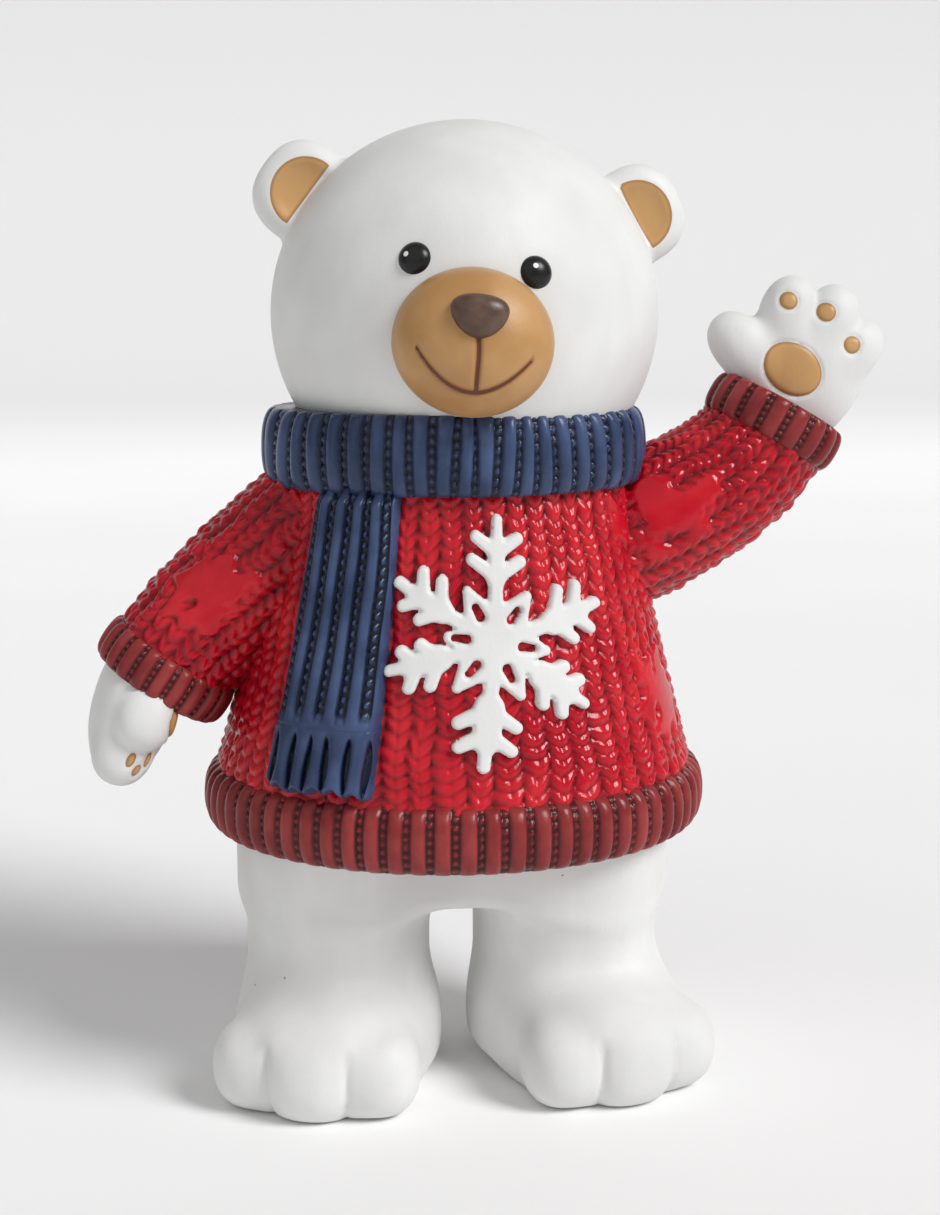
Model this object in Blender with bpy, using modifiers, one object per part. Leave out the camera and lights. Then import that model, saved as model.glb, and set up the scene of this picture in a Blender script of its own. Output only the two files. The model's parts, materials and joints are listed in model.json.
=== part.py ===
"""Polar bear figurine: a standing bear in a knitted jumper and a ribbed scarf, one paw raised.

The whole figure is one casting, so every form below is joined into one solid.
Metres, +Z up. The bear faces -Y, its left side is +X and its soles lie on Z = 0.
"""

from math import cos, pi, radians, sin, sqrt

import bmesh
import bpy
import numpy as np
from mathutils import Matrix, Vector

MM = 0.001

# Feet and legs
FOOT_HALF_WIDTH = 18.6 * MM
FOOT_HALF_LENGTH = 26.0 * MM
FOOT_HALF_HEIGHT = 14.5 * MM
FOOT_CENTRE_HEIGHT = 8.5 * MM
FOOT_CENTRE_FORWARD = 8.5 * MM
FOOT_TURN_OUT = radians(16.5)
FOOT_SPREAD = 24.0 * MM
TOE_HALF_WIDTH = 8.4 * MM
TOE_HALF_LENGTH = 9.0 * MM
TOE_HALF_HEIGHT = 8.8 * MM
TOE_STEP_ANGLE = radians(34.0)
TOE_STAND_OUT = 0.6 * MM
TOE_DROP = 0.6 * MM
LEG_SPREAD = 22.2 * MM
LEG_SHIFT = -0.7 * MM
LEG_HALF_WIDTH = 17.6 * MM
LEG_TOP_HALF_DEPTH = 28.0 * MM
LEG_ANKLE_HALF_DEPTH = 17.0 * MM
ANKLE_HEIGHT = 10.0 * MM
LEG_SQUARENESS = 2.4

# Hips and jumper
CROTCH_HEIGHT = 36.5 * MM
HIP_HALF_WIDTH = 41.0 * MM
HIP_DEPTH_SHARE = 0.61
HIP_ROUNDING = 3.5 * MM
HEM_BOTTOM = 48.6 * MM
HEM_TOP = 60.6 * MM
HEM_STAND_OUT = 2.6 * MM
HEM_RIBS = 68
HEM_RIB_DEPTH = 1.3 * MM
JUMPER_HEM_HALF_WIDTH = 45.6 * MM
JUMPER_NECK_HALF_WIDTH = 33.0 * MM
JUMPER_NECK_HEIGHT = 114.0 * MM
BODY_DEPTH_SHARE = 0.88

# Arms: the bear's right arm hangs, its left arm is raised
RIGHT_CUFF_DROP = 34.8 * MM
RIGHT_CUFF_STAND_OUT = 13.8 * MM
RIGHT_CUFF_FORWARD = 2.0 * MM
LEFT_CUFF_RISE = 10.4 * MM
LEFT_CUFF_STAND_OUT = 28.3 * MM
LEFT_CUFF_FORWARD = 1.0 * MM
RIGHT_CUFF_SLOPE = radians(-56.0)
LEFT_CUFF_SLOPE = radians(61.0)
RIGHT_CUFF_RADIUS = 13.6 * MM
LEFT_CUFF_RADIUS = 13.7 * MM
CUFF_LENGTH = 8.0 * MM
CUFF_RIBS = 18
CUFF_RIB_DEPTH = 1.1 * MM
SLEEVE_CUFF_RADIUS = 12.0 * MM
SLEEVE_SHOULDER_RADIUS = 15.3 * MM
SHOULDER_SPREAD = 22.0 * MM
RIGHT_SHOULDER_DROP = 6.5 * MM
LEFT_SHOULDER_DROP = 14.5 * MM
RIGHT_SHOULDER_SLOPE = radians(-35.0)
LEFT_SHOULDER_SLOPE = radians(22.0)

# Paws
PALM_HALF_WIDTH = 12.0 * MM
PALM_HALF_LENGTH = 14.2 * MM
PALM_HALF_THICKNESS = 6.4 * MM
FINGER_RADIUS = 5.2 * MM
FINGER_LENGTH = 8.0 * MM
# Places in the hand, as shares of the palm's half length: along it, across it and out of the palm,
# and then the swing in the plane of the palm
RAISED_PALM = (0.563, 0.0, 0.0, 0.0)
RAISED_FINGERS = (
    (1.056, 0.549, 0.028, 0.25),
    (1.232, 0.042, 0.056, 0.0),
    (1.042, -0.465, 0.028, -0.25),
)
RAISED_THUMB = (0.366, 0.908, 0.042, 1.41)
HANGING_PALM = (0.324, 0.0, -0.204, 0.0)
HANGING_FINGERS = (
    (0.803, 0.451, -0.127, 0.2),
    (0.859, 0.0, -0.141, 0.0),
    (0.789, -0.451, -0.127, -0.2),
)
HANGING_THUMB = (0.423, -0.58, 0.10, -0.3)
HANGING_HAND_SLOPE = radians(72.0)

# Scarf
SCARF_DROP = 0.2 * MM
SCARF_HEIGHT = 14.2 * MM
SCARF_HALF_WIDTH = 36.3 * MM
SCARF_DEPTH_SHARE = 0.90
SCARF_RIBS = 46
SCARF_RIB_DEPTH = 1.3 * MM
TAIL_MIDDLE_ANGLE = radians(-34.9)
TAIL_HALF_ANGLE = radians(13.4)
TAIL_THICKNESS = 4.0 * MM
TAIL_RIBS = 5
TAIL_RIB_DEPTH = 1.1 * MM
TAIL_END_HEIGHT = 62.0 * MM
FRINGE_LENGTH = 12.0 * MM
FRINGE_TASSELS = 7

# Snowflake on the belly, each arm with its own turn from upright and its share of the longest reach
SNOWFLAKE_HEIGHT = 88.9 * MM
SNOWFLAKE_ANGLE = radians(4.6)
SNOWFLAKE_REACH = 22.6 * MM
SNOWFLAKE_ARMS = (
    (4.0, 0.973),
    (75.0, 1.0),
    (127.0, 0.885),
    (187.0, 0.982),
    (255.0, 0.863),
    (301.0, 0.929),
)
SNOWFLAKE_PETAL = 9.8 * MM
SNOWFLAKE_HOLE_HALF_WIDTH = 0.75 * MM
SNOWFLAKE_HOLE_HALF_LENGTH = 1.5 * MM
SNOWFLAKE_HOLE_SIDES = 6
SNOWFLAKE_STROKE = 1.15 * MM
SNOWFLAKE_THICKNESS = 1.5 * MM
SNOWFLAKE_FOLD = 5.2 * MM

# Head
HEAD_ASIDE = 2.0 * MM
HEAD_FORWARD = 0.3 * MM
HEAD_RISE = 30.8 * MM
HEAD_HALF_WIDTH = 36.0 * MM
HEAD_HALF_DEPTH = 34.5 * MM
HEAD_HALF_HEIGHT = 35.2 * MM
FACE_TURN = radians(-3.7)
FACE_TILT = radians(6.4)
EAR_TILT = radians(3.6)
EAR_ANGLE = radians(33.6)
EAR_RADIUS = 9.2 * MM
EAR_HALF_THICKNESS = 4.2 * MM
EAR_OUTSET = 0.9 * MM
EAR_CUP_DEPTH = 2.2 * MM
MUZZLE_HALF_WIDTH = 13.4 * MM
MUZZLE_HALF_HEIGHT = 12.3 * MM
MUZZLE_REACH = 10.5 * MM
MUZZLE_DROP = 4.3 * MM
NOSE_HALF_WIDTH = 4.7 * MM
NOSE_HALF_HEIGHT = 3.7 * MM
NOSE_HALF_DEPTH = 3.0 * MM
NOSE_RISE = 4.5 * MM
MOUTH_HALF_WIDTH = 9.6 * MM
MOUTH_END_DROP = 1.7 * MM
MOUTH_MIDDLE_DROP = 8.0 * MM
MOUTH_GROOVE = 0.45 * MM
EYE_SPREAD = 10.4 * MM
EYE_SHIFT = -0.9 * MM
EYE_RISE = 8.6 * MM
EYE_RADIUS = 2.8 * MM

KEPT_TRIANGLES = 0.87

WHITE = (0.83, 0.83, 0.82)
RED = (0.58, 0.02, 0.025)
BRICK = (0.26, 0.03, 0.03)
BLUE = (0.04, 0.075, 0.19)
TAN = (0.58, 0.34, 0.14)
BROWN = (0.10, 0.06, 0.05)
BLACK = (0.01, 0.01, 0.01)


def clear_scene():
    """Start from an empty file."""
    for ob in list(bpy.data.objects):
        bpy.data.objects.remove(ob, do_unlink=True)


def new_collection(name):
    """A collection linked to the scene."""
    collection = bpy.data.collections.new(name)
    bpy.context.scene.collection.children.link(collection)
    return collection


def paint(name, colour, roughness):
    """One painted finish."""
    material = bpy.data.materials.new(name)
    material.use_nodes = True
    shader = material.node_tree.nodes["Principled BSDF"]
    shader.inputs["Base Color"].default_value = (*colour, 1.0)
    shader.inputs["Roughness"].default_value = roughness
    shader.inputs["Metallic"].default_value = 0.0
    return material


def mesh_object(name, mesh, material, collection):
    """An object that holds a mesh with one paint, shaded smooth."""
    mesh.materials.clear()
    mesh.materials.append(material)
    mesh.shade_smooth()
    mesh.set_sharp_from_angle(angle=radians(50.0))
    ob = bpy.data.objects.new(name, mesh)
    collection.objects.link(ob)
    return ob


def blob(name, centre, radii, material, collection, power=2.0, turn=None, detail=(24, 12)):
    """A sphere stretched to three radii. A power over 2 squares it towards a box."""
    bm = bmesh.new()
    bmesh.ops.create_uvsphere(bm, u_segments=detail[0], v_segments=detail[1], radius=1.0)
    for vert in bm.verts:
        flat = sum(abs(c) ** power for c in vert.co) ** (1.0 / power)
        vert.co = Vector([c * r / flat for c, r in zip(vert.co, radii)])
    placing = Matrix.Translation(centre) @ (turn.to_4x4() if turn else Matrix.Identity(4))
    bm.transform(placing)
    mesh = bpy.data.meshes.new(name)
    bm.to_mesh(mesh)
    bm.free()
    return mesh_object(name, mesh, material, collection)


def lofted(name, rows, material, collection):
    """A closed skin over rows of points, each row a ring of as many points, with flat ends."""
    rows = np.asarray(rows, dtype=float)
    count, sides = rows.shape[:2]
    faces = []
    for i in range(count - 1):
        for j in range(sides):
            k = (j + 1) % sides
            faces.append((i * sides + j, i * sides + k, (i + 1) * sides + k, (i + 1) * sides + j))
    faces.append(tuple(range(sides)))
    faces.append(tuple(range((count - 1) * sides, count * sides)))
    mesh = bpy.data.meshes.new(name)
    mesh.from_pydata([tuple(p) for p in rows.reshape(-1, 3)], [], faces)
    bm = bmesh.new()
    bm.from_mesh(mesh)
    bmesh.ops.triangulate(bm, faces=[f for f in bm.faces if len(f.verts) > 4])
    bmesh.ops.recalc_face_normals(bm, faces=bm.faces)
    bm.to_mesh(mesh)
    bm.free()
    return mesh_object(name, mesh, material, collection)


def turned(name, profile, sides, material, collection, depth_share=1.0):
    """A solid of revolution from (radius, height) pairs, top to bottom, squeezed in depth."""
    points = [(0.0, 0.0, profile[0][1])] + [(r, 0.0, z) for r, z in profile]
    points.append((0.0, 0.0, profile[-1][1]))
    mesh = bpy.data.meshes.new(name + "_profile")
    mesh.from_pydata(points, [(i, i + 1) for i in range(len(points) - 1)], [])
    ob = bpy.data.objects.new(name, mesh)
    collection.objects.link(ob)
    screw = ob.modifiers.new("turn", "SCREW")
    screw.steps = sides
    screw.render_steps = sides
    screw.use_merge_vertices = True
    screw.merge_threshold = 0.01 * MM
    bpy.context.view_layer.update()
    solid = bpy.data.meshes.new_from_object(ob.evaluated_get(bpy.context.evaluated_depsgraph_get()))
    bpy.data.objects.remove(ob, do_unlink=True)
    solid.transform(Matrix.Diagonal((1.0, depth_share, 1.0, 1.0)))
    bm = bmesh.new()
    bm.from_mesh(solid)
    bmesh.ops.recalc_face_normals(bm, faces=bm.faces)
    bm.to_mesh(solid)
    bm.free()
    solid.name = name
    return mesh_object(name, solid, material, collection)


def ribbed(name, profile, ribs, sides_per_rib, depth, material, collection, placing=None, depth_share=1.0):
    """A turned band whose radius waves in and out once for each rib.

    The profile gives (radius, height, share of the rib's depth), from bottom to top.
    """
    sides = ribs * sides_per_rib
    angle = 2.0 * pi * np.arange(sides) / sides
    wave = 0.5 - 0.5 * np.cos(ribs * angle)
    rows = []
    for radius, height, share in profile:
        r = radius - depth * share * (1.0 - wave)
        rows.append(np.stack([r * np.sin(angle), -depth_share * r * np.cos(angle), 0 * r + height], axis=1))
    ob = lofted(name, rows, material, collection)
    if placing is not None:
        ob.data.transform(placing)
    return ob


def smooth_path(points, count):
    """Points evenly spread along a Catmull-Rom curve through the given ones."""
    p = np.array([tuple(q) for q in points])
    ends = np.vstack([2 * p[0] - p[1], p, 2 * p[-1] - p[-2]])
    t = np.linspace(0.0, len(p) - 1.0, count)
    i = np.minimum(t.astype(int), len(p) - 2)
    f = (t - i)[:, None]
    a, b, c, d = ends[i], ends[i + 1], ends[i + 2], ends[i + 3]
    return 0.5 * (2 * b + (c - a) * f + (2 * a - 5 * b + 4 * c - d) * f**2 + (3 * b - a - 3 * c + d) * f**3)


def tube(name, points, radii, resolution, material, collection):
    """A round bar along a path, thick as the radii say, as a bevelled curve made into a mesh."""
    curve = bpy.data.curves.new(name, "CURVE")
    curve.dimensions = "3D"
    curve.bevel_depth = max(radii)
    curve.bevel_resolution = resolution
    curve.use_fill_caps = True
    spline = curve.splines.new("POLY")
    spline.points.add(len(points) - 1)
    for knot, place, radius in zip(spline.points, points, radii):
        knot.co = (*place, 1.0)
        knot.radius = radius / max(radii)
    return curve_to_solid(name, curve, material, collection)


def curve_to_solid(name, curve, material, collection):
    """The closed mesh of a curve, with its caps welded on."""
    ob = bpy.data.objects.new(name + "_curve", curve)
    collection.objects.link(ob)
    bpy.context.view_layer.update()
    mesh = bpy.data.meshes.new_from_object(ob.evaluated_get(bpy.context.evaluated_depsgraph_get()))
    bpy.data.objects.remove(ob, do_unlink=True)
    bm = bmesh.new()
    bm.from_mesh(mesh)
    bmesh.ops.remove_doubles(bm, verts=bm.verts, dist=0.001 * MM)
    bmesh.ops.recalc_face_normals(bm, faces=bm.faces)
    bm.to_mesh(mesh)
    bm.free()
    return mesh_object(name, mesh, material, collection)


def jumper_half_width(height):
    """Half width of the jumper, which widens a little faster towards the hem."""
    fall = np.clip((JUMPER_NECK_HEIGHT - height) / (JUMPER_NECK_HEIGHT - HEM_TOP), 0.0, 1.2)
    return JUMPER_NECK_HALF_WIDTH + (JUMPER_HEM_HALF_WIDTH - JUMPER_NECK_HALF_WIDTH) * fall**1.12


def on_jumper(angle, height, stand_out=0.0):
    """Point on the jumper at an angle from the front, with a distance outwards."""
    a = jumper_half_width(height)
    x = (a + stand_out) * np.sin(angle)
    y = -(BODY_DEPTH_SHARE * a + stand_out) * np.cos(angle)
    return np.stack([x, y, height + 0 * a], axis=-1)


def head_centre():
    """Middle of the head, over the neck of the jumper."""
    return Vector((HEAD_ASIDE, -HEAD_FORWARD, JUMPER_NECK_HEIGHT + HEAD_RISE))


def head_point(across, up, inset=0.0):
    """Point on the head over a place across and up the face, and the way the head faces there."""
    turn = face_turn()
    out = 1.0 - (across / HEAD_HALF_WIDTH) ** 2 - (up / HEAD_HALF_HEIGHT) ** 2
    local = Vector((across, -HEAD_HALF_DEPTH * sqrt(out), up))
    way = turn @ local.normalized()
    return head_centre() + turn @ local - inset * way, way


def face_turn():
    """How the face is turned and tilted on the body."""
    return Matrix.Rotation(FACE_TURN, 3, "Z") @ Matrix.Rotation(FACE_TILT, 3, "Y")


def make_hips(collection, white):
    """The rump under the jumper, down to the crotch."""
    hem = HEM_TOP - HEM_BOTTOM
    profile = [
        (HIP_HALF_WIDTH * 0.90, HEM_BOTTOM + 0.83 * hem),
        (HIP_HALF_WIDTH, HEM_BOTTOM + 0.25 * hem),
        (HIP_HALF_WIDTH * 0.985, CROTCH_HEIGHT + HIP_ROUNDING),
        (HIP_HALF_WIDTH * 0.92, CROTCH_HEIGHT),
    ]
    return turned("bear_figurine", profile, 32, white, collection, HIP_DEPTH_SHARE)


def make_leg(side, collection, white):
    """A straight leg from the hips to the ankle. Its depth narrows downwards."""
    angle = 2.0 * pi * np.arange(18) / 18
    squared = (np.abs(np.cos(angle)) ** LEG_SQUARENESS + np.abs(np.sin(angle)) ** LEG_SQUARENESS) ** (
        -1.0 / LEG_SQUARENESS
    )
    top = HEM_BOTTOM + 0.08 * (HEM_TOP - HEM_BOTTOM)
    rows = []
    for share in (0.0, 0.45, 1.0):
        height = ANKLE_HEIGHT + (top - ANKLE_HEIGHT) * share
        half_depth = LEG_ANKLE_HALF_DEPTH + (LEG_TOP_HALF_DEPTH - LEG_ANKLE_HALF_DEPTH) * share**1.3
        x = side * LEG_SPREAD + LEG_SHIFT + LEG_HALF_WIDTH * squared * np.cos(angle)
        rows.append(np.stack([x, half_depth * squared * np.sin(angle), 0 * x + height], axis=1))
    return lofted(f"leg_{side}", rows, white, collection)


def make_foot(side, collection, white):
    """A rounded foot with three toes, turned outwards."""
    turn = Matrix.Rotation(side * FOOT_TURN_OUT, 3, "Z")
    centre = Vector((side * FOOT_SPREAD, -FOOT_CENTRE_FORWARD, FOOT_CENTRE_HEIGHT))
    size = (FOOT_HALF_WIDTH, FOOT_HALF_LENGTH, FOOT_HALF_HEIGHT)
    forms = [blob(f"foot_{side}", centre, size, white, collection, 2.3, turn, (18, 8))]
    for toe in (-1, 0, 1):
        angle = toe * TOE_STEP_ANGLE
        reach_x = (FOOT_HALF_WIDTH + TOE_STAND_OUT - TOE_HALF_WIDTH) * sin(angle) / sin(TOE_STEP_ANGLE)
        reach_y = -(FOOT_HALF_LENGTH + TOE_STAND_OUT - TOE_HALF_LENGTH) * cos(angle)
        place = centre + turn @ Vector((reach_x, reach_y, -TOE_DROP))
        spread = turn @ Matrix.Rotation(angle * 0.5, 3, "Z")
        size = (TOE_HALF_WIDTH, TOE_HALF_LENGTH, TOE_HALF_HEIGHT)
        forms.append(blob(f"toe_{side}_{toe}", place, size, white, collection, 2.4, spread, (10, 6)))
    return forms


def make_jumper(collection, red, brick):
    """The knitted body of the jumper and its rolled, ribbed hem."""
    half = (HEM_TOP - HEM_BOTTOM) / 2
    heights = np.linspace(JUMPER_NECK_HEIGHT + SCARF_HEIGHT * 0.28, HEM_TOP - half * 0.67, 5)
    body = [(float(jumper_half_width(z)), z) for z in heights]
    forms = [turned("jumper", body, 40, red, collection, BODY_DEPTH_SHARE)]
    middle = (HEM_TOP + HEM_BOTTOM) / 2
    widest = JUMPER_HEM_HALF_WIDTH + HEM_STAND_OUT
    band = [
        (widest - half * 0.33, HEM_BOTTOM, 0.6),
        (widest, middle - half * 0.4, 1.0),
        (widest - half * 0.07, middle + half * 0.4, 1.0),
        (JUMPER_HEM_HALF_WIDTH - half * 0.5, HEM_TOP + half * 0.17, 0.0),
    ]
    forms.append(ribbed("hem", band, HEM_RIBS, 2, HEM_RIB_DEPTH, brick, collection, None, BODY_DEPTH_SHARE))
    return forms


def right_cuff_centre():
    """Middle of the hanging arm's cuff, beside the jumper."""
    height = JUMPER_NECK_HEIGHT - RIGHT_CUFF_DROP
    return Vector((-jumper_half_width(height) - RIGHT_CUFF_STAND_OUT, -RIGHT_CUFF_FORWARD, height))


def left_cuff_centre():
    """Middle of the raised arm's cuff, above and beside the neck of the jumper."""
    height = JUMPER_NECK_HEIGHT + LEFT_CUFF_RISE
    return Vector((JUMPER_NECK_HALF_WIDTH + LEFT_CUFF_STAND_OUT, -LEFT_CUFF_FORWARD, height))


def arm_axis(slope, side):
    """Direction of a cuff, outwards on the given side."""
    return Vector((side * cos(slope), 0.0, sin(slope)))


def make_arm(side, shoulder_height, shoulder_slope, cuff_centre, slope, cuff_radius, collection, red, brick):
    """A sleeve from the shoulder to a ribbed cuff."""
    axis = arm_axis(slope, side)
    shoulder = Vector((side * SHOULDER_SPREAD, cuff_centre.y * 0.5, shoulder_height))
    start = cuff_centre - axis * CUFF_LENGTH * 0.5
    reach = (start - shoulder).length
    bend = start - axis * reach * 0.08
    outer = shoulder + arm_axis(shoulder_slope, side) * reach * 0.33
    knots = [shoulder, outer, bend, start, cuff_centre]
    path = smooth_path(knots, 8)
    share = np.linspace(0.0, 1.0, len(path))
    radii = SLEEVE_SHOULDER_RADIUS + (SLEEVE_CUFF_RADIUS - SLEEVE_SHOULDER_RADIUS) * share
    forms = [tube(f"sleeve_{side}", path, list(radii), 5, red, collection)]
    band = [
        (cuff_radius * 0.97, -0.50 * CUFF_LENGTH, 0.2),
        (cuff_radius, -0.22 * CUFF_LENGTH, 1.0),
        (cuff_radius * 0.985, 0.26 * CUFF_LENGTH, 1.0),
        (cuff_radius * 0.89, 0.50 * CUFF_LENGTH, 0.4),
    ]
    placing = Matrix.Translation(cuff_centre) @ axis.to_track_quat("Z", "Y").to_matrix().to_4x4()
    forms.append(ribbed(f"cuff_{side}", band, CUFF_RIBS, 2, CUFF_RIB_DEPTH, brick, collection, placing))
    return forms


def hand_frame(wrist, along, face):
    """Matrix whose columns run along the hand, across it and out of its palm."""
    across = face.cross(along).normalized()
    turn = Matrix((along.normalized(), across, face.normalized())).transposed()
    return Matrix.Translation(wrist) @ turn.to_4x4()


def hand_blob(name, frame, place, radii, collection, white, detail=(10, 6)):
    """A blob placed in a hand's frame, swung in the plane of the palm."""
    turn = frame.to_3x3() @ Matrix.Rotation(place[3], 3, "Z")
    centre = frame @ (Vector(place[:3]) * PALM_HALF_LENGTH)
    return blob(name, centre, radii, white, collection, 2.2, turn, detail)


def make_raised_paw(collection, white):
    """The waving paw: palm to the front, three fingers and a thumb."""
    along = arm_axis(LEFT_CUFF_SLOPE, 1)
    wrist = left_cuff_centre() + along * CUFF_LENGTH * 0.4
    frame = hand_frame(wrist, along, Vector((0.0, -1.0, 0.0)))
    palm = (PALM_HALF_LENGTH, PALM_HALF_WIDTH, PALM_HALF_THICKNESS)
    finger = (FINGER_LENGTH, FINGER_RADIUS, FINGER_RADIUS)
    forms = [hand_blob("raised_palm", frame, RAISED_PALM, palm, collection, white, (16, 8))]
    for number, place in enumerate(RAISED_FINGERS, 1):
        forms.append(hand_blob(f"raised_finger_{number}", frame, place, finger, collection, white))
    thumb = (PALM_HALF_WIDTH * 0.6, FINGER_RADIUS * 1.12, FINGER_RADIUS)
    forms.append(hand_blob("raised_thumb", frame, RAISED_THUMB, thumb, collection, white))
    return forms


def make_hanging_paw(collection, white):
    """The paw at rest: palm to the body, thumb in front, fingers curled a little."""
    cuff_axis = arm_axis(RIGHT_CUFF_SLOPE, -1)
    along = arm_axis(-HANGING_HAND_SLOPE, -1)
    wrist = right_cuff_centre() + cuff_axis * CUFF_LENGTH * 0.4
    frame = hand_frame(wrist, along, Vector((-along.z, 0.0, along.x)))
    palm = (PALM_HALF_LENGTH, PALM_HALF_WIDTH * 0.96, PALM_HALF_THICKNESS * 1.25)
    finger = (FINGER_LENGTH, FINGER_RADIUS, FINGER_RADIUS * 1.1)
    forms = [hand_blob("hanging_palm", frame, HANGING_PALM, palm, collection, white, (16, 8))]
    for number, place in enumerate(HANGING_FINGERS, 1):
        forms.append(hand_blob(f"hanging_finger_{number}", frame, place, finger, collection, white))
    thumb = (PALM_HALF_WIDTH * 0.6, FINGER_RADIUS, FINGER_RADIUS)
    forms.append(hand_blob("hanging_thumb", frame, HANGING_THUMB, thumb, collection, white))
    return forms


def make_scarf(collection, blue):
    """The ring of the scarf round the neck, ribbed upright, and its tail with a fringe."""
    bottom = JUMPER_NECK_HEIGHT - SCARF_DROP
    ring = [
        (SCARF_HALF_WIDTH * 0.945, bottom, 0.6),
        (SCARF_HALF_WIDTH, bottom + SCARF_HEIGHT * 0.30, 1.0),
        (SCARF_HALF_WIDTH * 0.995, bottom + SCARF_HEIGHT * 0.72, 1.0),
        (SCARF_HALF_WIDTH * 0.94, bottom + SCARF_HEIGHT, 0.6),
    ]
    depth = SCARF_RIB_DEPTH
    forms = [ribbed("scarf_ring", ring, SCARF_RIBS, 2, depth, blue, collection, None, SCARF_DEPTH_SHARE)]
    top = bottom + SCARF_HEIGHT * 0.3
    fringe_top = TAIL_END_HEIGHT + FRINGE_LENGTH
    tail_end = fringe_top - FRINGE_LENGTH * 0.04
    forms.append(ribbed_strip("scarf_tail", top, tail_end, TAIL_RIBS, 4, 7, collection, blue))
    tassels = (fringe_top, TAIL_END_HEIGHT, FRINGE_TASSELS, 3, 4)
    forms.append(ribbed_strip("scarf_fringe", *tassels, collection, blue))
    return forms


def ribbed_strip(name, top, bottom, ribs, steps_per_rib, row_count, collection, blue):
    """A strip that lies on the jumper, with ribs down its face and its back sunk in the jumper."""
    share = np.linspace(-1.0, 1.0, ribs * steps_per_rib + 1)
    groove = 0.5 + 0.5 * np.cos(pi * ribs * (share + 1.0))
    edge = 1.0 - 0.45 * np.abs(share) ** 6
    rows = []
    for i in range(row_count):
        height = top + (bottom - top) * i / (row_count - 1)
        angle = TAIL_MIDDLE_ANGLE + TAIL_HALF_ANGLE * share
        front = on_jumper(angle, np.full_like(angle, height), TAIL_THICKNESS * edge - TAIL_RIB_DEPTH * groove)
        back = on_jumper(angle[[-1, 0]], np.full(2, height), -0.75 * TAIL_THICKNESS)
        rows.append(np.vstack([front, back]))
    return lofted(name, rows, blue, collection)


def round_end(centre, way, half, steps):
    """Points round the end of a stroke, from its right side to its left."""
    side = np.array([way[1], -way[0]])
    angles = np.linspace(0.0, pi, steps)
    return [centre + half * (side * cos(a) + way * sin(a)) for a in angles]


def branch(root, tip, half, arm_half):
    """Outline of a side branch, from its lower root on the arm round its tip to its upper root."""
    root = np.array(root)
    tip = np.array(tip)
    way = (tip - root) / np.linalg.norm(tip - root)
    side = np.array([way[1], -way[0]])
    end = round_end(tip - way * half, way, half, 3)
    lower = root + side * half
    upper = root - side * half
    lower = lower + way * (arm_half - lower[0]) / way[0]
    upper = upper + way * (arm_half - upper[0]) / way[0]
    return [lower, *end, upper]


def half_arm(length, gap):
    """Right side of an arm, as points (aside, outwards) from the hub to half its tip.

    The gap is the angle to the next arm. Branches are shorter where it is narrow.
    """
    half = SNOWFLAKE_STROKE
    room = min(1.0, gap / radians(62.0))
    points = [np.array((half, SNOWFLAKE_PETAL * 0.70))]
    points += branch((0.0, length * 0.43), (length * 0.25 * room, length * 0.61), half, half)
    points += branch((0.0, length * 0.65), (length * 0.20 * room, length * 0.81), half, half)
    points += round_end(np.array((0.0, length - half)), np.array((0.0, 1.0)), half, 5)[:3]
    return points


def clockwise(points, angle):
    """Points (aside, outwards) turned clockwise by an angle."""
    c, s = cos(angle), sin(angle)
    return [(p[0] * c + p[1] * s, -p[0] * s + p[1] * c) for p in points]


def snowflake_hole():
    """Outline of one long hole beside the hub, under a petal that points straight out."""
    middle = SNOWFLAKE_PETAL * 0.53
    turns = 2.0 * pi * np.arange(SNOWFLAKE_HOLE_SIDES) / SNOWFLAKE_HOLE_SIDES
    return [(SNOWFLAKE_HOLE_HALF_WIDTH * sin(a), middle + SNOWFLAKE_HOLE_HALF_LENGTH * cos(a)) for a in turns]


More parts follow.
